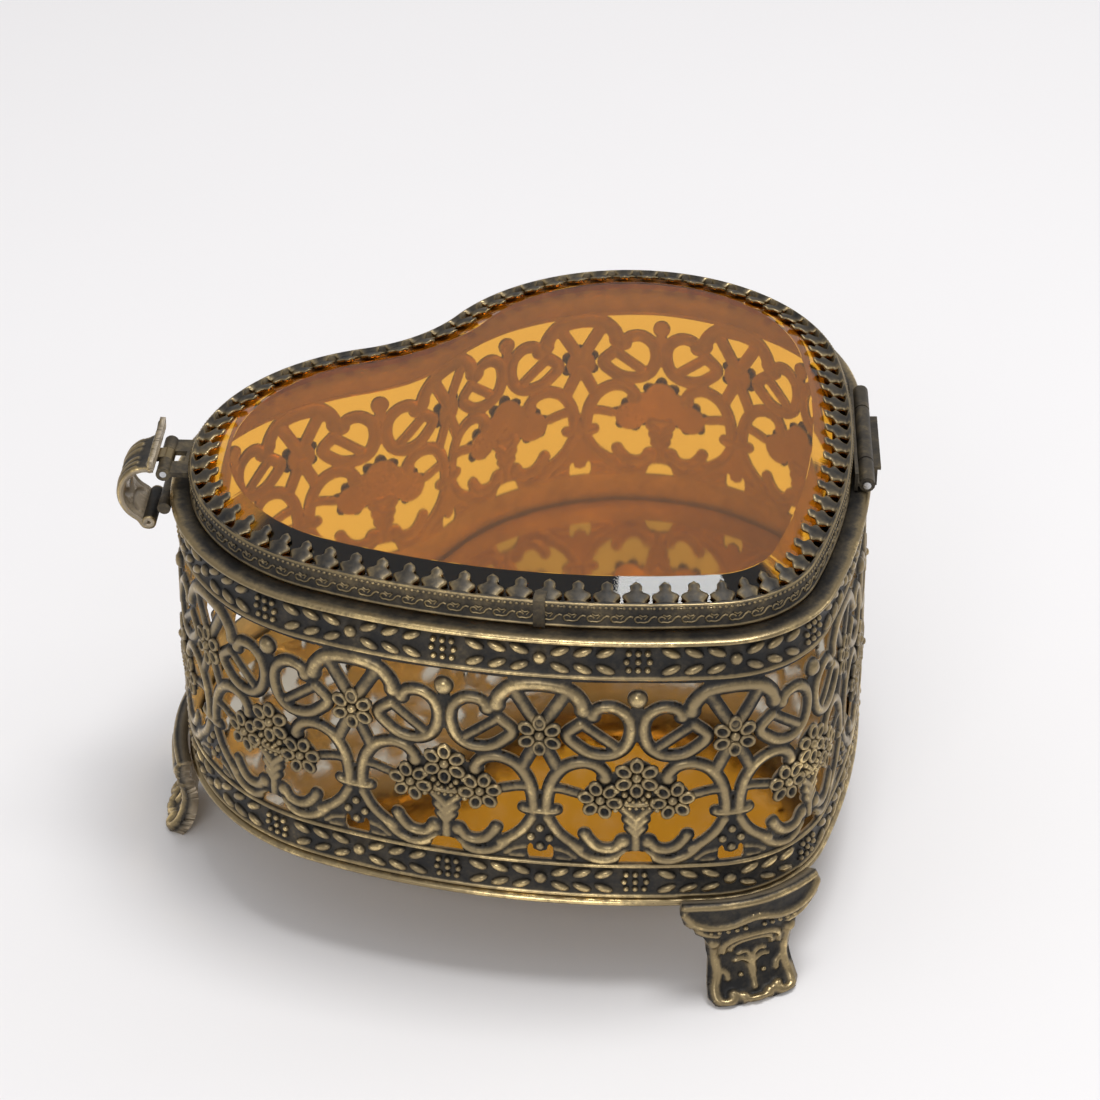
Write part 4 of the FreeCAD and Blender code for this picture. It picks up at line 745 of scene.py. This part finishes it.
# small balls between the three flowers of a basket: from its middle, up, radius
BERRIES = ((1.7, 13.3, 0.6), (2.9, 14.0, 0.62), (2.4, 12.1, 0.55), (1.0, 12.6, 0.5), (3.0, 10.6, 0.55))
blooms = Pattern()
flower(blooms, 0, OPEN_FOOT + 23.1, 3.5, 0.1)
for mirrored in (-1, 1):
    flower(blooms, mirrored * 8.9 * PITCH / 28.4, OPEN_FOOT + 12.2, 3.4, 0.1, 90 + mirrored * 18)
    for x, z, size in BERRIES:
        blooms.mound(mirrored * (PITCH / 2 - x), OPEN_FOOT + z, (size, size), 0.85, 0, 0, DOME, 8)
flower(blooms, PITCH / 2, OPEN_FOOT + 16.3, 3.5, 0.15)
blooms.mound(PITCH / 2, OPEN_FOOT + 29.8, (1.45, 1.45), 1.05, 0, 0, DOME, 14)
for x, z in ((0, 6.3), (-1.35, 4.6), (1.35, 4.6), (0, 3.0)):
    blooms.mound(x, OPEN_FOOT + z, (0.68, 0.68), 0.65)
for k in range(-2, 3):
    blooms.mound(PITCH / 2 + k * 0.95, OPEN_FOOT + 10.9, (0.42, 0.42), 0.75, 0, 0, DOME, 8)
for k in (-1.5, -0.5, 0.5, 1.5):
    blooms.mound(PITCH / 2 + k * 0.95, OPEN_FOOT + 12.0, (0.42, 0.42), 0.75, 0, 0, DOME, 8)
flowers_flat = blooms.mesh("flowers_flat", bellied)
wall_flowers = bent("wall_flowers", flowers_flat, antique_brass, REPEATS, shift=COLUMN_SHIFT * PITCH)
finish(wall_flowers, "case", "antique_brass")

# %% [markdown]
# ## Borders and rails
#
# Above and below the openwork runs a dark band with pairs of leaves, a cluster
# of nine beads and a boss, between two raised lines. The band and the lines are
# a moulding; leaves and beads are mounds standing on it.

# %% Borders
def border_profile(low, high, line=0.42, lift=0.45):
    """A flat ground between two rounded lines, as (y, z, wear), closed behind."""
    rounded = [(-1.0, 0.0, 0.1), (-0.6, 0.7, 0.85), (0.0, 1.0, 1.0), (0.6, 0.7, 0.85), (1.0, 0.0, 0.1)]
    front = [(lift * y, low + line + line * s, w) for s, y, w in rounded]
    front += [(0.0, (low + high) / 2, 0.0)]
    front += [(lift * y, high - line + line * s, w) for s, y, w in rounded]
    back = [(-SHEET, high, 0.3), (-SHEET, (low + high) / 2, 0.3), (-SHEET, low, 0.3)]
    return front + back


def border(name, low, high, first_leaf=3.2):
    pattern = Pattern()
    pattern.moulding(border_profile(low, high), PITCH, 56)
    middle = (low + high) / 2
    for row in (-1, 0, 1):
        for k in (-1, 0, 1):
            x = k * 1.35 if row else k * 1.65
            pattern.mound(x, middle + row * 1.4, (0.52, 0.52), 0.65, 0, 0, DOME, 8)
    boss = PITCH / 2
    pattern.mound(boss, middle, (1.05, 1.05), 0.75, 0, 0, DOME, 10)
    for side_of in (-1, 1):
        for k in range(3):
            x = boss + side_of * (2.9 + 3.25 * k)
            for row in (-1, 1):
                pattern.mound(x, middle + row * 1.4, (1.6, 0.72), 0.75, 0, side_of * row * 24, DOME, 10)
    # the back of the border gets the paler painted light of the inside
    flat = pattern.mesh(name + "_flat", bellied, painted_light_behind=True)
    return bent(name, flat, antique_brass, REPEATS, shift=(COLUMN_SHIFT + 0.5) * PITCH)


upper = border("upper_border", 57.0, 63.7)
lower = border("lower_border", 17.5, 24.4)
finish(upper, "case", "antique_brass")
finish(lower, "case", "antique_brass")


# %% Rails
def rail(name, profile, path=None, steps=64):
    pattern = Pattern()
    length = LID_LENGTH if path is lid_path else WALL_LENGTH
    pattern.moulding(profile, length / REPEATS, steps)
    return bent(name, pattern.mesh(name + "_flat"), antique_brass, REPEATS, path)


top_high = box_mm("top_rail")[1][2]
base_low, base_high = (corner[2] for corner in box_mm("base_rail"))
TOP_RAIL = [
    (-4.4, top_high, 0.0), (-1.2, top_high, 0.1), (-0.4, top_high, 0.55), (0.1, top_high - 0.1, 1.0),
    (0.4, top_high - 0.3, 1.1), (0.45, top_high - 0.5, 1.1), (0.36, top_high - 0.7, 0.9),
    (0.0, top_high - 0.8, 0.3), (-0.9, top_high - 0.8, 0.3), (-1.2, top_high - 0.4, 0.5),
    (-4.4, top_high - 0.4, 0.5),
]
BASE_RAIL = [
    (-3.5, base_high, 0.2), (-0.3, base_high, 0.3), (0.5, base_high - 0.1, 0.8), (0.95, base_high - 0.4, 1.0),
    (1.0, base_low + 0.45, 1.0), (0.75, base_low + 0.1, 0.8), (0.3, base_low, 0.5), (-3.5, base_low, 0.3),
]
finish(rail("rolled_top_rail", TOP_RAIL[::-1]), "case", "antique_brass", "top_rail")
finish(rail("rolled_base_rail", BASE_RAIL[::-1]), "case", "antique_brass", "base_rail")

# %% [markdown]
# ## Feet and hasp: relief on a bent strip
#
# A foot is cast and a hasp is pressed, but both can be drawn like the wall: a
# flat drawing of relief, laid on a surface that a side profile sweeps out. The
# profile gives how far out and how high each line of the drawing goes. A foot
# follows the heart's own curve from side to side; the hasp runs straight.

# %% Laying a drawing on a profile
def on_profile(profile, carry):
    """Bends flat points so that -z runs down a profile of (out, up) places; carry sets them sideways."""
    path = smooth_path(profile)
    run = np.concatenate([[0], np.cumsum(np.linalg.norm(np.diff(path, axis=0), axis=1))])
    ahead = np.gradient(path, run, axis=0)
    face = np.column_stack([-ahead[:, 1], ahead[:, 0]])
    face /= np.linalg.norm(face, axis=1)[:, None]

    def shape(points):
        down = np.clip(-points[:, 2], 0, run[-1])
        out, up, face_out, face_up = (np.interp(down, run, column) for column in (*path.T, *face.T))
        return carry(points[:, 0], out + points[:, 1] * face_out, up + points[:, 1] * face_up)

    return shape, run[-1]


def round_heart(station):
    """Carries points round the wall from a place that many millimetres along it."""
    places, out = heart(0.0)
    run = np.concatenate([[0], np.cumsum(np.linalg.norm(np.diff(places, axis=0), axis=1))])

    def carry(along, away, up):
        at = (station + along) % WALL_LENGTH
        here = np.column_stack([np.interp(at, run, column) for column in places.T])
        facing = np.column_stack([np.interp(at, run, column) for column in out.T])
        return np.column_stack([here + facing * away[:, None], np.maximum(up, 0.0)])

    return carry


def station_of(centre, degrees):
    """How far along the wall it faces that way from an arc's centre."""
    places, _ = heart(0.0)
    turn = math.radians(degrees)
    ray = np.array([math.cos(turn), math.sin(turn)])
    away = places - centre
    ahead = away @ ray
    miss = np.where(ahead > 0, np.abs(away[:, 0] * ray[1] - away[:, 1] * ray[0]), 99)
    nearest = int(np.argmin(miss + ahead * 0.001))
    return np.linalg.norm(np.diff(places[: nearest + 1], axis=0), axis=1).sum()


def joined(name, meshes, material):
    """Several meshes as one piece."""
    whole = bmesh.new()
    for mesh in meshes:
        whole.from_mesh(mesh)
    result = bpy.data.meshes.new(name)
    whole.to_mesh(result)
    whole.free()
    result.materials.append(material)
    return placed(name, result)


def both_halves(half):
    """A closed outline from its right half, mirrored."""
    return half + [(-x, z) for x, z in half[::-1]]


def right_half(places):
    """Places moved to the right half of a drawing that is the same on both sides."""
    return np.column_stack([np.abs(places[:, 0]), places[:, 1]])


# %% Feet
FOOT_PROFILE = [
    (2.9, 18.5), (3.35, 17.0), (3.4, 15.0), (3.1, 12.6), (2.5, 10.0), (2.15, 7.6), (2.5, 5.2), (3.4, 3.0),
    (4.6, 1.4), (5.7, 0.3),
]
CAST = 1.7
FOOT_EDGE = [
    (0, 0), (10.2, 0), (10.5, -1.6), (9.9, -3.6), (8.5, -4.6), (8.2, -5.8), (7.0, -6.6), (6.3, -8.2),
    (6.5, -9.6), (6.0, -12), (6.2, -16.0), (6.1, -18), (5.2, -19.3), (3.6, -19.9), (2.2, -19.8),
    (1.2, -19.3), (0, -19.6),
]
FOOT_RELIEF = [
    (0.55, 0.5, [(0, -0.7), (10.0, -0.7)]),
    (0.75, 0.75, [(9.8, -1.8), (8.6, -3.3), (6.4, -4.3), (3.6, -4.3), (1.4, -3.5), (0, -3.2)]),
    (0.55, 0.6, [(9.4, -3.4), (8.0, -4.8), (6.6, -5.8), (5.0, -6.2)]),
    (0.6, 0.8, [(4.0, -10.2), (3.7, -8.4), (2.2, -7.1), (0, -6.7)]),
    (0.45, 0.5, [(3.0, -10.2), (2.6, -8.9), (1.4, -8.2), (0, -8.0)]),
    (0.85, 0.9, [
        (5.3, -8.0), (5.2, -11), (4.8, -14), (5.2, -16.6), (4.8, -18.6), (3.4, -19.0), (2.7, -18.0),
    ]),
    (1.15, 1.05, [(5.5, -8.0)]),
    (0.8, 0.9, [(2.9, -17.7)]),
    (0.85, 0.9, [(0, -19.0), (1.1, -19.1), (1.7, -18.3)]),
    (0.55, 0.7, [(4.6, -13.4), (3.6, -14.2), (3.4, -15.2)]),
    (0.5, 0.75, [(0, -17.2), (0, -14.0)]),
    (0.75, 0.85, [(0, -14.8), (0, -11.6)]),
    (0.5, 0.75, [(0, -13.2), (1.3, -12.0), (2.3, -12.2)]),
    (0.45, 0.7, [(0, -11.8), (1.0, -10.6), (1.9, -10.9)]),
]


def foot_field(places):
    _, height, wear = stamped(right_half(places), FOOT_RELIEF)
    return distance_to_plate(places, both_halves(FOOT_EDGE)), height, wear


foot_beads = Pattern()
for mirrored in (-1, 1):
    for k in range(7):
        share = k / 6
        x, z = 9.0 - 8.6 * share, -2.0 - 3.4 * math.sin(math.pi * (0.18 + 0.62 * share)) + 1.4
        foot_beads.mound(mirrored * x, z - 0.35, (0.42, 0.42), 0.55, 0, 0, DOME, 8)
    for k in range(5):
        foot_beads.mound(mirrored * (5.9 - 1.15 * k), -5.55 + 0.08 * k, (0.4, 0.4), 0.55, 0, 0, DOME, 8)
    foot_beads.mound(mirrored * 1.6, -14.9, (0.45, 0.45), 0.5, 0, 0, DOME, 8)

FEET = {
    "front_foot": station_of(point, -106.0),
    "left_foot": station_of(lobe * [-1, 1], 143.5),
    "right_foot": station_of(lobe, 36.5),
}
foot_across, foot_up = np.linspace(-10.8, 10.8, 78), np.linspace(-20.4, 0.3, 75)
for name, station in FEET.items():
    shape, _ = on_profile(FOOT_PROFILE, round_heart(station))
    casting = sheet_mesh(name + "_casting", foot_across, foot_up, foot_field, CAST, shape, keep_sides=False)
    beads = foot_beads.mesh(name + "_bead_row", shape)
    foot = joined("cast_" + name, [casting, beads], cast_brass)
    finish(foot, "case", "antique_brass", name)
    print(foot.name, "stands", round(station, 1), "mm along the wall")

# %% Hasp
HASP_BEARING = 141.0
STRAP = 0.8
hasp_low, hasp_high = box_mm("hasp")
pin_low, pin_high = box_mm("hasp_pin")
hasp_turn = math.radians(HASP_BEARING)
hasp_out = np.array([math.cos(hasp_turn), math.sin(hasp_turn)])
hasp_across = np.array([-hasp_out[1], hasp_out[0]])
hasp_root = lobe * [-1, 1] + hasp_out * LOBE_RADIUS
pin_level = (pin_low[2] + pin_high[2]) / 2
BOW_CENTRE, BOW_RADIUS = (3.0, pin_level - 4.1), 5.2
ROLL_CENTRE, ROLL_RADIUS = (3.9, hasp_low[2] + 1.1), 1.1
bow_angles = np.radians(np.arange(80, -61, -20))
roll_angles = np.radians(np.arange(-90, -400, -40))


def on_circle(centre, radius, angles):
    """The points of a circle at those angles."""
    return [(centre[0] + radius * math.cos(a), centre[1] + radius * math.sin(a)) for a in angles]


HASP_PROFILE = (
    [(2.75, hasp_high[2]), (2.85, hasp_high[2] - 1.2), (2.95, hasp_high[2] - 2.2)]
    + on_circle(BOW_CENTRE, BOW_RADIUS, bow_angles)
    + [(4.85, hasp_low[2] + 0.2)]
    + on_circle(ROLL_CENTRE, ROLL_RADIUS, roll_angles)
)


def straight_out(along, away, up):
    return np.column_stack([hasp_root + along[:, None] * hasp_across + away[:, None] * hasp_out, up])


hasp_shape, hasp_run = on_profile(HASP_PROFILE, straight_out)
HASP_EDGE = [
    (0, -0.3), (2.2, -0.2), (4.6, -0.5), (5.6, 0.0), (6.5, -0.2), (6.7, -1.2), (6.3, -2.1), (5.5, -2.3),
    (4.8, -2.9), (4.45, -3.8), (4.5, -18.5), (4.5, -hasp_run), (0, -hasp_run),
]
HASP_RELIEF = [
    (0.42, 0.32, [(3.9, -4.6), (3.9, -17.5)]),
    (0.6, 0.42, [(2.7, -4.6), (2.75, -9.0), (2.2, -11.4), (0, -12.8)]),
    (0.5, 0.36, [(1.25, -4.6), (1.25, -8.0), (0.8, -9.6), (0, -10.2)]),
    (0.4, 0.3, [(2.7, -15.2), (1.6, -14.2), (0, -13.9)]),
    (0.55, 0.35, [(-0.1, -1.3), (4.6, -1.5), (5.9, -1.1)]),
]


def hasp_field(places):
    _, height, wear = stamped(right_half(places), HASP_RELIEF)
    edge = distance_to_plate(places, both_halves(HASP_EDGE))
    return edge, height, np.maximum(wear, np.clip((edge + 0.5) * 2, 0, 1))


strap_across, strap_up = np.linspace(-6.9, 6.9, 58), np.linspace(-hasp_run, 0.1, 110)
strap = sheet_mesh("hasp_strap", strap_across, strap_up, hasp_field, STRAP, hasp_shape, keep_sides=False)
knuckle = Pattern()
KNUCKLE_RADIUS, KNUCKLE_HALF = 1.1, 1.35
ring_angles = np.linspace(0, 2 * math.pi, 17)[:-1]
outside = [(x, z, 0.6) for x, z in on_circle((1.0, pin_level), KNUCKLE_RADIUS, ring_angles)]
neck = [(x, pin_level + rise, 0.5) for x, rise in ((1.2, 1.1), (3.0, 0.9), (3.0, 0.1), (1.2, 0.3))]
for profile in (outside, neck):
    knuckle.moulding(profile[::-1], 2 * KNUCKLE_HALF, 2)
knuckle_mesh = knuckle.mesh("hasp_knuckle", lambda points: straight_out(*points.T))
finish(joined("pressed_hasp", [strap, knuckle_mesh], cast_brass), "hasp", "antique_brass", "hasp")

# %% [markdown]
# ## The gallery that holds the glass
#
# The lid's band ends in a crown of small tabs, cut with a keyhole gap between
# each pair and bent down over the bevel. One tab is a strip of a few rows whose
# half width follows the cut; the tree sets 76 of them side by side.

# %% Gallery
TABS = 76
TAB_CUT = (
    (0.0, 1.0), (0.3, 0.97), (0.5, 0.76), (0.85, 0.58), (1.3, 0.56), (1.7, 0.66), (2.1, 0.86),
    (2.4, 0.94), (2.7, 0.82), (2.95, 0.52), (3.25, 0.36), (3.6, 0.4), (3.95, 0.42), (4.25, 0.32),
    (4.42, 0.08),
)
band_low, band_high = (corner[2] for corner in box_mm("gallery_band"))
glass_low, glass_high = (corner[2] for corner in box_mm("lid_glass"))
GLASS_EDGE = 1.8
BEVEL_WIDTH = 5.4
BEVEL_START = -0.7
TAB_THICK = 0.38


def bevel_level(y):
    """Height of the glass under a point that far inside the band's face."""
    slope = (glass_high - glass_low - GLASS_EDGE) / BEVEL_WIDTH
    return glass_low + GLASS_EDGE + np.maximum(BEVEL_START - y, 0) * slope


tab = Pattern()
tab_pitch = LID_LENGTH / TABS
lanes = (-1.0, -0.7, -0.25, 0.25, 0.7, 1.0)
rows = []
for run, share in TAB_CUT:
    y = 0.02 - run * 0.98
    lift = bevel_level(y) + 0.3 + TAB_THICK if run > 0.6 else band_high - 0.1 + 0.5 * run
    crown = 0.28 * min(1.0, run)
    for lane in lanes:
        worn = 0.12 + 0.8 * abs(lane) ** 3 if run < 4.2 else 0.9
        rows.append((lane * share * tab_pitch / 2, y, lift + crown * (1 - lane * lane), worn))
top_side = [(x, y, z) for x, y, z, _ in rows]
under_side = [(x, y + 0.05, z - TAB_THICK) for x, y, z, _ in rows]
wide, deep, total = len(lanes), len(TAB_CUT), len(rows)
faces = []
for r in range(deep - 1):
    for c in range(wide - 1):
        a = r * wide + c
        below = a + total
        faces.append((a, a + 1, a + wide + 1, a + wide))
        faces.append((below, below + wide, below + wide + 1, below + 1))
    a, b = r * wide, r * wide + wide - 1
    if r:
        faces += [(a, a + wide, a + wide + total, a + total), (b, b + total, b + wide + total, b + wide)]
a = (deep - 1) * wide
faces += [(a + c, a + c + 1, a + c + 1 + total, a + c + total) for c in range(wide - 1)]
tab.put(top_side + under_side, faces, [w for *_, w in rows] * 2)
finish(bent("gallery_tabs", tab.mesh("tab_flat"), antique_brass, TABS, lid_path), "lid", "antique_brass")

# %% Band of the gallery
BAND = [
    (-0.5, band_low, 0.2), (0.1, band_low, 0.8), (0.28, band_low + 0.2, 1.0), (0.1, band_low + 0.42, 0.6),
    (0.0, band_low + 0.5, 0.1), (-0.02, band_high - 1.4, 0.25), (0.0, band_high - 0.3, 0.4),
    (0.0, band_high - 0.05, 0.9), (-0.15, band_high + 0.1, 0.9), (-0.5, band_high + 0.05, 0.4),
]
band = Pattern()
band.moulding(BAND, LID_LENGTH / REPEATS, 64)
hoop = bent("gallery_hoop", band.mesh("hoop_flat"), antique_brass, REPEATS, lid_path)
finish(hoop, "lid", "antique_brass", "gallery_band")

SCROLLS = 96
scroll = Pattern()
middle = (band_low + band_high) / 2 - 0.15
ring = [(-0.75 + 0.48 * math.cos(a), middle - 0.2 + 0.5 * math.sin(a)) for a in np.linspace(0.3, 5.3, 9)]
tail = [(x, middle + rise) for x, rise in ((0.1, -0.72), (0.7, -0.5), (1.1, 0.1), (1.5, 0.35), (1.85, 0.2))]
scroll.wire(ring + tail, 0.17, 0.24)
scroll.wire([(-0.6, middle + 0.62), (-0.1, middle + 0.3), (0.45, middle + 0.5)], 0.13, 0.2)
scroll.wire([(0.15, middle - 0.15), (0.6, middle + 0.45)], 0.12, 0.18)
scrolls = bent("gallery_scrolls", scroll.mesh("scroll_flat"), antique_brass, SCROLLS, lid_path)
finish(scrolls, "lid", "antique_brass")

BEADS = 380
bead = Pattern()
LOW_DOME = ((1.0, 0.0, 0.1), (0.6, 0.8, 0.9), (0.0, 1.0, 1.0))
bead.mound(0, band_high - 0.42, (0.34, 0.34), 0.28, -0.02, 0, LOW_DOME, 6)
beads = bent("gallery_beads", bead.mesh("bead_flat"), antique_brass, BEADS, lid_path)
finish(beads, "lid", "antique_brass")

# %% [markdown]
# ## The amber glass
#
# The lid is one plate of amber glass with a wide bevel ground round its edge.
# Its outline is drawn with many more points than the CAD solid has, so that the
# bevel reflects as one smooth slope. Glass blocks lamps in a path tracer, so for
# rays that look for light it becomes a plain amber filter, and the floor of the
# casket glows as it does in daylight. The filter is paler than the glass, since
# most of the light that falls inside comes through the openwork.

# %% Glass
AMBER = (0.90, 0.42, 0.035, 1)
PALER_AMBER = (0.93, 0.47, 0.045, 1)
LIGHT_FILTER = (0.98, 0.84, 0.55, 1)


def amber():
    material, tree, place = new_material("amber_glass")
    ripple = noise(tree, place, 25.0, 2.0)
    glass = add(tree, "ShaderNodeBsdfPrincipled", None, {
        "Base Color": mix_colours(tree, ripple, AMBER, PALER_AMBER),
        "Roughness": 0.02 + ripple * 0.02,
        "IOR": 1.5,
        "Transmission Weight": 1.0,
        "Normal": bumps(tree, 0.12, 0.25, ripple),
    })
    filtered = add(tree, "ShaderNodeBsdfTransparent", None, {"Color": LIGHT_FILTER})
    rays = add(tree, "ShaderNodeLightPath", None, None, "Is Shadow Ray")
    for_light = rays + rays["Is Diffuse Ray"]
    shader = add(tree, "ShaderNodeMixShader", None, {0: for_light, 1: glass, 2: filtered})
    return finish_material(material, tree, shader)


amber_glass = amber()
EDGE_INSET = -3.5
CHAMFER = 0.1
levels = (
    (EDGE_INSET - CHAMFER, glass_low),
    (EDGE_INSET, glass_low + CHAMFER),
    (EDGE_INSET, glass_low + GLASS_EDGE - CHAMFER),
    (EDGE_INSET - 0.15, glass_low + GLASS_EDGE + 0.02),
    (EDGE_INSET - BEVEL_WIDTH + CHAMFER, glass_high - 0.02),
    (EDGE_INSET - BEVEL_WIDTH, glass_high),
)
outline, out = heart(0.0)
rings = []
for inset, level in levels:
    places = outline + out * inset
    rings.append(np.column_stack([places, np.full(len(places), level)])[::3])
count = len(rings[0])
faces = []
for r in range(len(rings) - 1):
    for i in range(count):
        j = (i + 1) % count
        faces.append((r * count + i, r * count + j, (r + 1) * count + j, (r + 1) * count + i))
faces.append(tuple(range((len(rings) - 1) * count, len(rings) * count)))
faces.append(tuple(reversed(range(count))))
glass_mesh = bpy.data.meshes.new("bevelled_glass")
glass_mesh.from_pydata((np.vstack(rings) * MM).tolist(), [], faces)
glass_mesh.materials.append(amber_glass)
finish(placed("bevelled_glass", glass_mesh), "lid", "amber_glass", "lid_glass")

# %% [markdown]
# ## Metals of the floor and the movement
#
# The floor is a polished plate that mirrors the glass above it. The movement is the usual mix: bright brass
# wheels, a nickelled drum and bedplate, steel arbors and a blued spring. Turned parts show fine rings of tool
# marks, so their roughness follows a fine noise.

# %% Plain metals
def plain_metal(name, light, dark, rough, marks, bump=0.15):
    material, tree, place = new_material(name)
    cloud = noise(tree, place, marks, 5.0)
    scratch = noise(tree, place, marks * 9, 2.0)
    shader = add(tree, "ShaderNodeBsdfPrincipled", None, {
        "Base Color": mix_colours(tree, smooth_step(tree, cloud, 0.3, 0.75), light, dark),
        "Metallic": 1.0,
        "Roughness": rough + (scratch - 0.5) * 0.2 + (cloud - 0.5) * 0.15,
        "Normal": bumps(tree, bump, 0.03, scratch),
    })
    return finish_material(material, tree, shader)


PLAIN = {
    # light, dark, roughness, size of the marks, then how strong they are
    "plain_brass": ((0.55, 0.38, 0.16, 1), (0.30, 0.19, 0.08, 1), 0.38, 160.0),
    "mirror_plate": ((0.80, 0.74, 0.62, 1), (0.70, 0.62, 0.48, 1), 0.08, 60.0, 0.03),
    "steel": ((0.60, 0.60, 0.61, 1), (0.42, 0.42, 0.43, 1), 0.3, 300.0),
    "blued_steel": ((0.16, 0.19, 0.30, 1), (0.10, 0.11, 0.16, 1), 0.32, 200.0),
    "nickel_plate": ((0.70, 0.69, 0.65, 1), (0.55, 0.53, 0.48, 1), 0.27, 140.0),
    "movement_brass": ((0.78, 0.57, 0.26, 1), (0.60, 0.41, 0.17, 1), 0.3, 220.0),
}
finishes = {name: plain_metal(name, *look) for name, look in PLAIN.items()}
finishes.update(antique_brass=fitting_brass, amber_glass=amber_glass)
finish_of = {part["node"]: part["material_slot"] for part in frame["record"]["subparts"]}
for name, node in nodes.items():
    for slot in node.material_slots:
        slot.material = finishes[finish_of[name]]

# %% [markdown]
# ## Floor, light and camera
#
# A pale floor, a soft lamp overhead and weaker ones from the front left and the
# right give an even light. The camera stands to the left of the point and looks
# down at the lid.

# %% Floor
REACH = 9.0
corners = [(x * REACH, y * REACH, 0) for x, y in ((-1, -1), (1, -1), (1, 1), (-1, 1))]
floor_mesh = bpy.data.meshes.new("floor")
floor_mesh.from_pydata(corners, [], [(0, 1, 2, 3)])
paper, tree, place = new_material("paper")
fibre = noise(tree, place, 8.0)
paper_shader = add(tree, "ShaderNodeBsdfPrincipled", None, {
    "Base Color": mix_colours(tree, fibre, (0.80, 0.79, 0.795, 1), (0.82, 0.81, 0.815, 1)),
    "Roughness": 0.75,
})
floor_mesh.materials.append(finish_material(paper, tree, paper_shader))
placed("floor", floor_mesh)


# %% Light
def soft_light(name, place, aim, size, power):
    light = bpy.data.lights.new(name, "AREA")
    light.shape, light.size, light.energy = "SQUARE", size, power
    lamp = placed(name, light)
    lamp.location = place
    lamp.rotation_euler = (Vector(aim) - Vector(place)).to_track_quat("-Z", "Y").to_euler()


soft_light("overhead", (0.10, -0.12, 1.05), (0, 0, 0.03), 0.4, 6.4)
soft_light("front_left", (-0.9, -0.7, 0.8), (0, 0, 0.03), 0.5, 3.2)
soft_light("right", (1.0, -0.3, 0.6), (0, 0, 0.03), 0.4, 1.2)
world = bpy.data.worlds.new("studio")
world.use_nodes = True
world.node_tree.nodes["Background"].inputs["Color"].default_value = (0.90, 0.89, 0.90, 1)
world.node_tree.nodes["Background"].inputs["Strength"].default_value = 0.6
bpy.context.scene.world = world
bpy.context.scene.view_settings.view_transform = "Standard"

# %% Camera
AZIMUTH, ELEVATION = math.radians(-36.79), math.radians(35.73)
DISTANCE = 0.47307
middle_y = (wall_low[1] + wall_high[1]) / 2 * MM
aim = Vector((0.0, middle_y, 28.0 * MM))
level = math.cos(ELEVATION)
back = Vector((math.sin(AZIMUTH) * level, -math.cos(AZIMUTH) * level, math.sin(ELEVATION)))
camera_data = bpy.data.cameras.new("camera")
camera_data.sensor_width = 36.0
camera_data.lens = 97.2
camera_data.shift_x, camera_data.shift_y = -0.0258, 0.106
camera_data.clip_start = 0.01
camera = placed("camera", camera_data)
camera.location = aim + back * DISTANCE
camera.rotation_euler = (-back).to_track_quat("-Z", "Y").to_euler()
bpy.context.scene.camera = camera

# %% Put the tools away and finish
for path in (wall_path, lid_path):
    bpy.data.objects.remove(path)
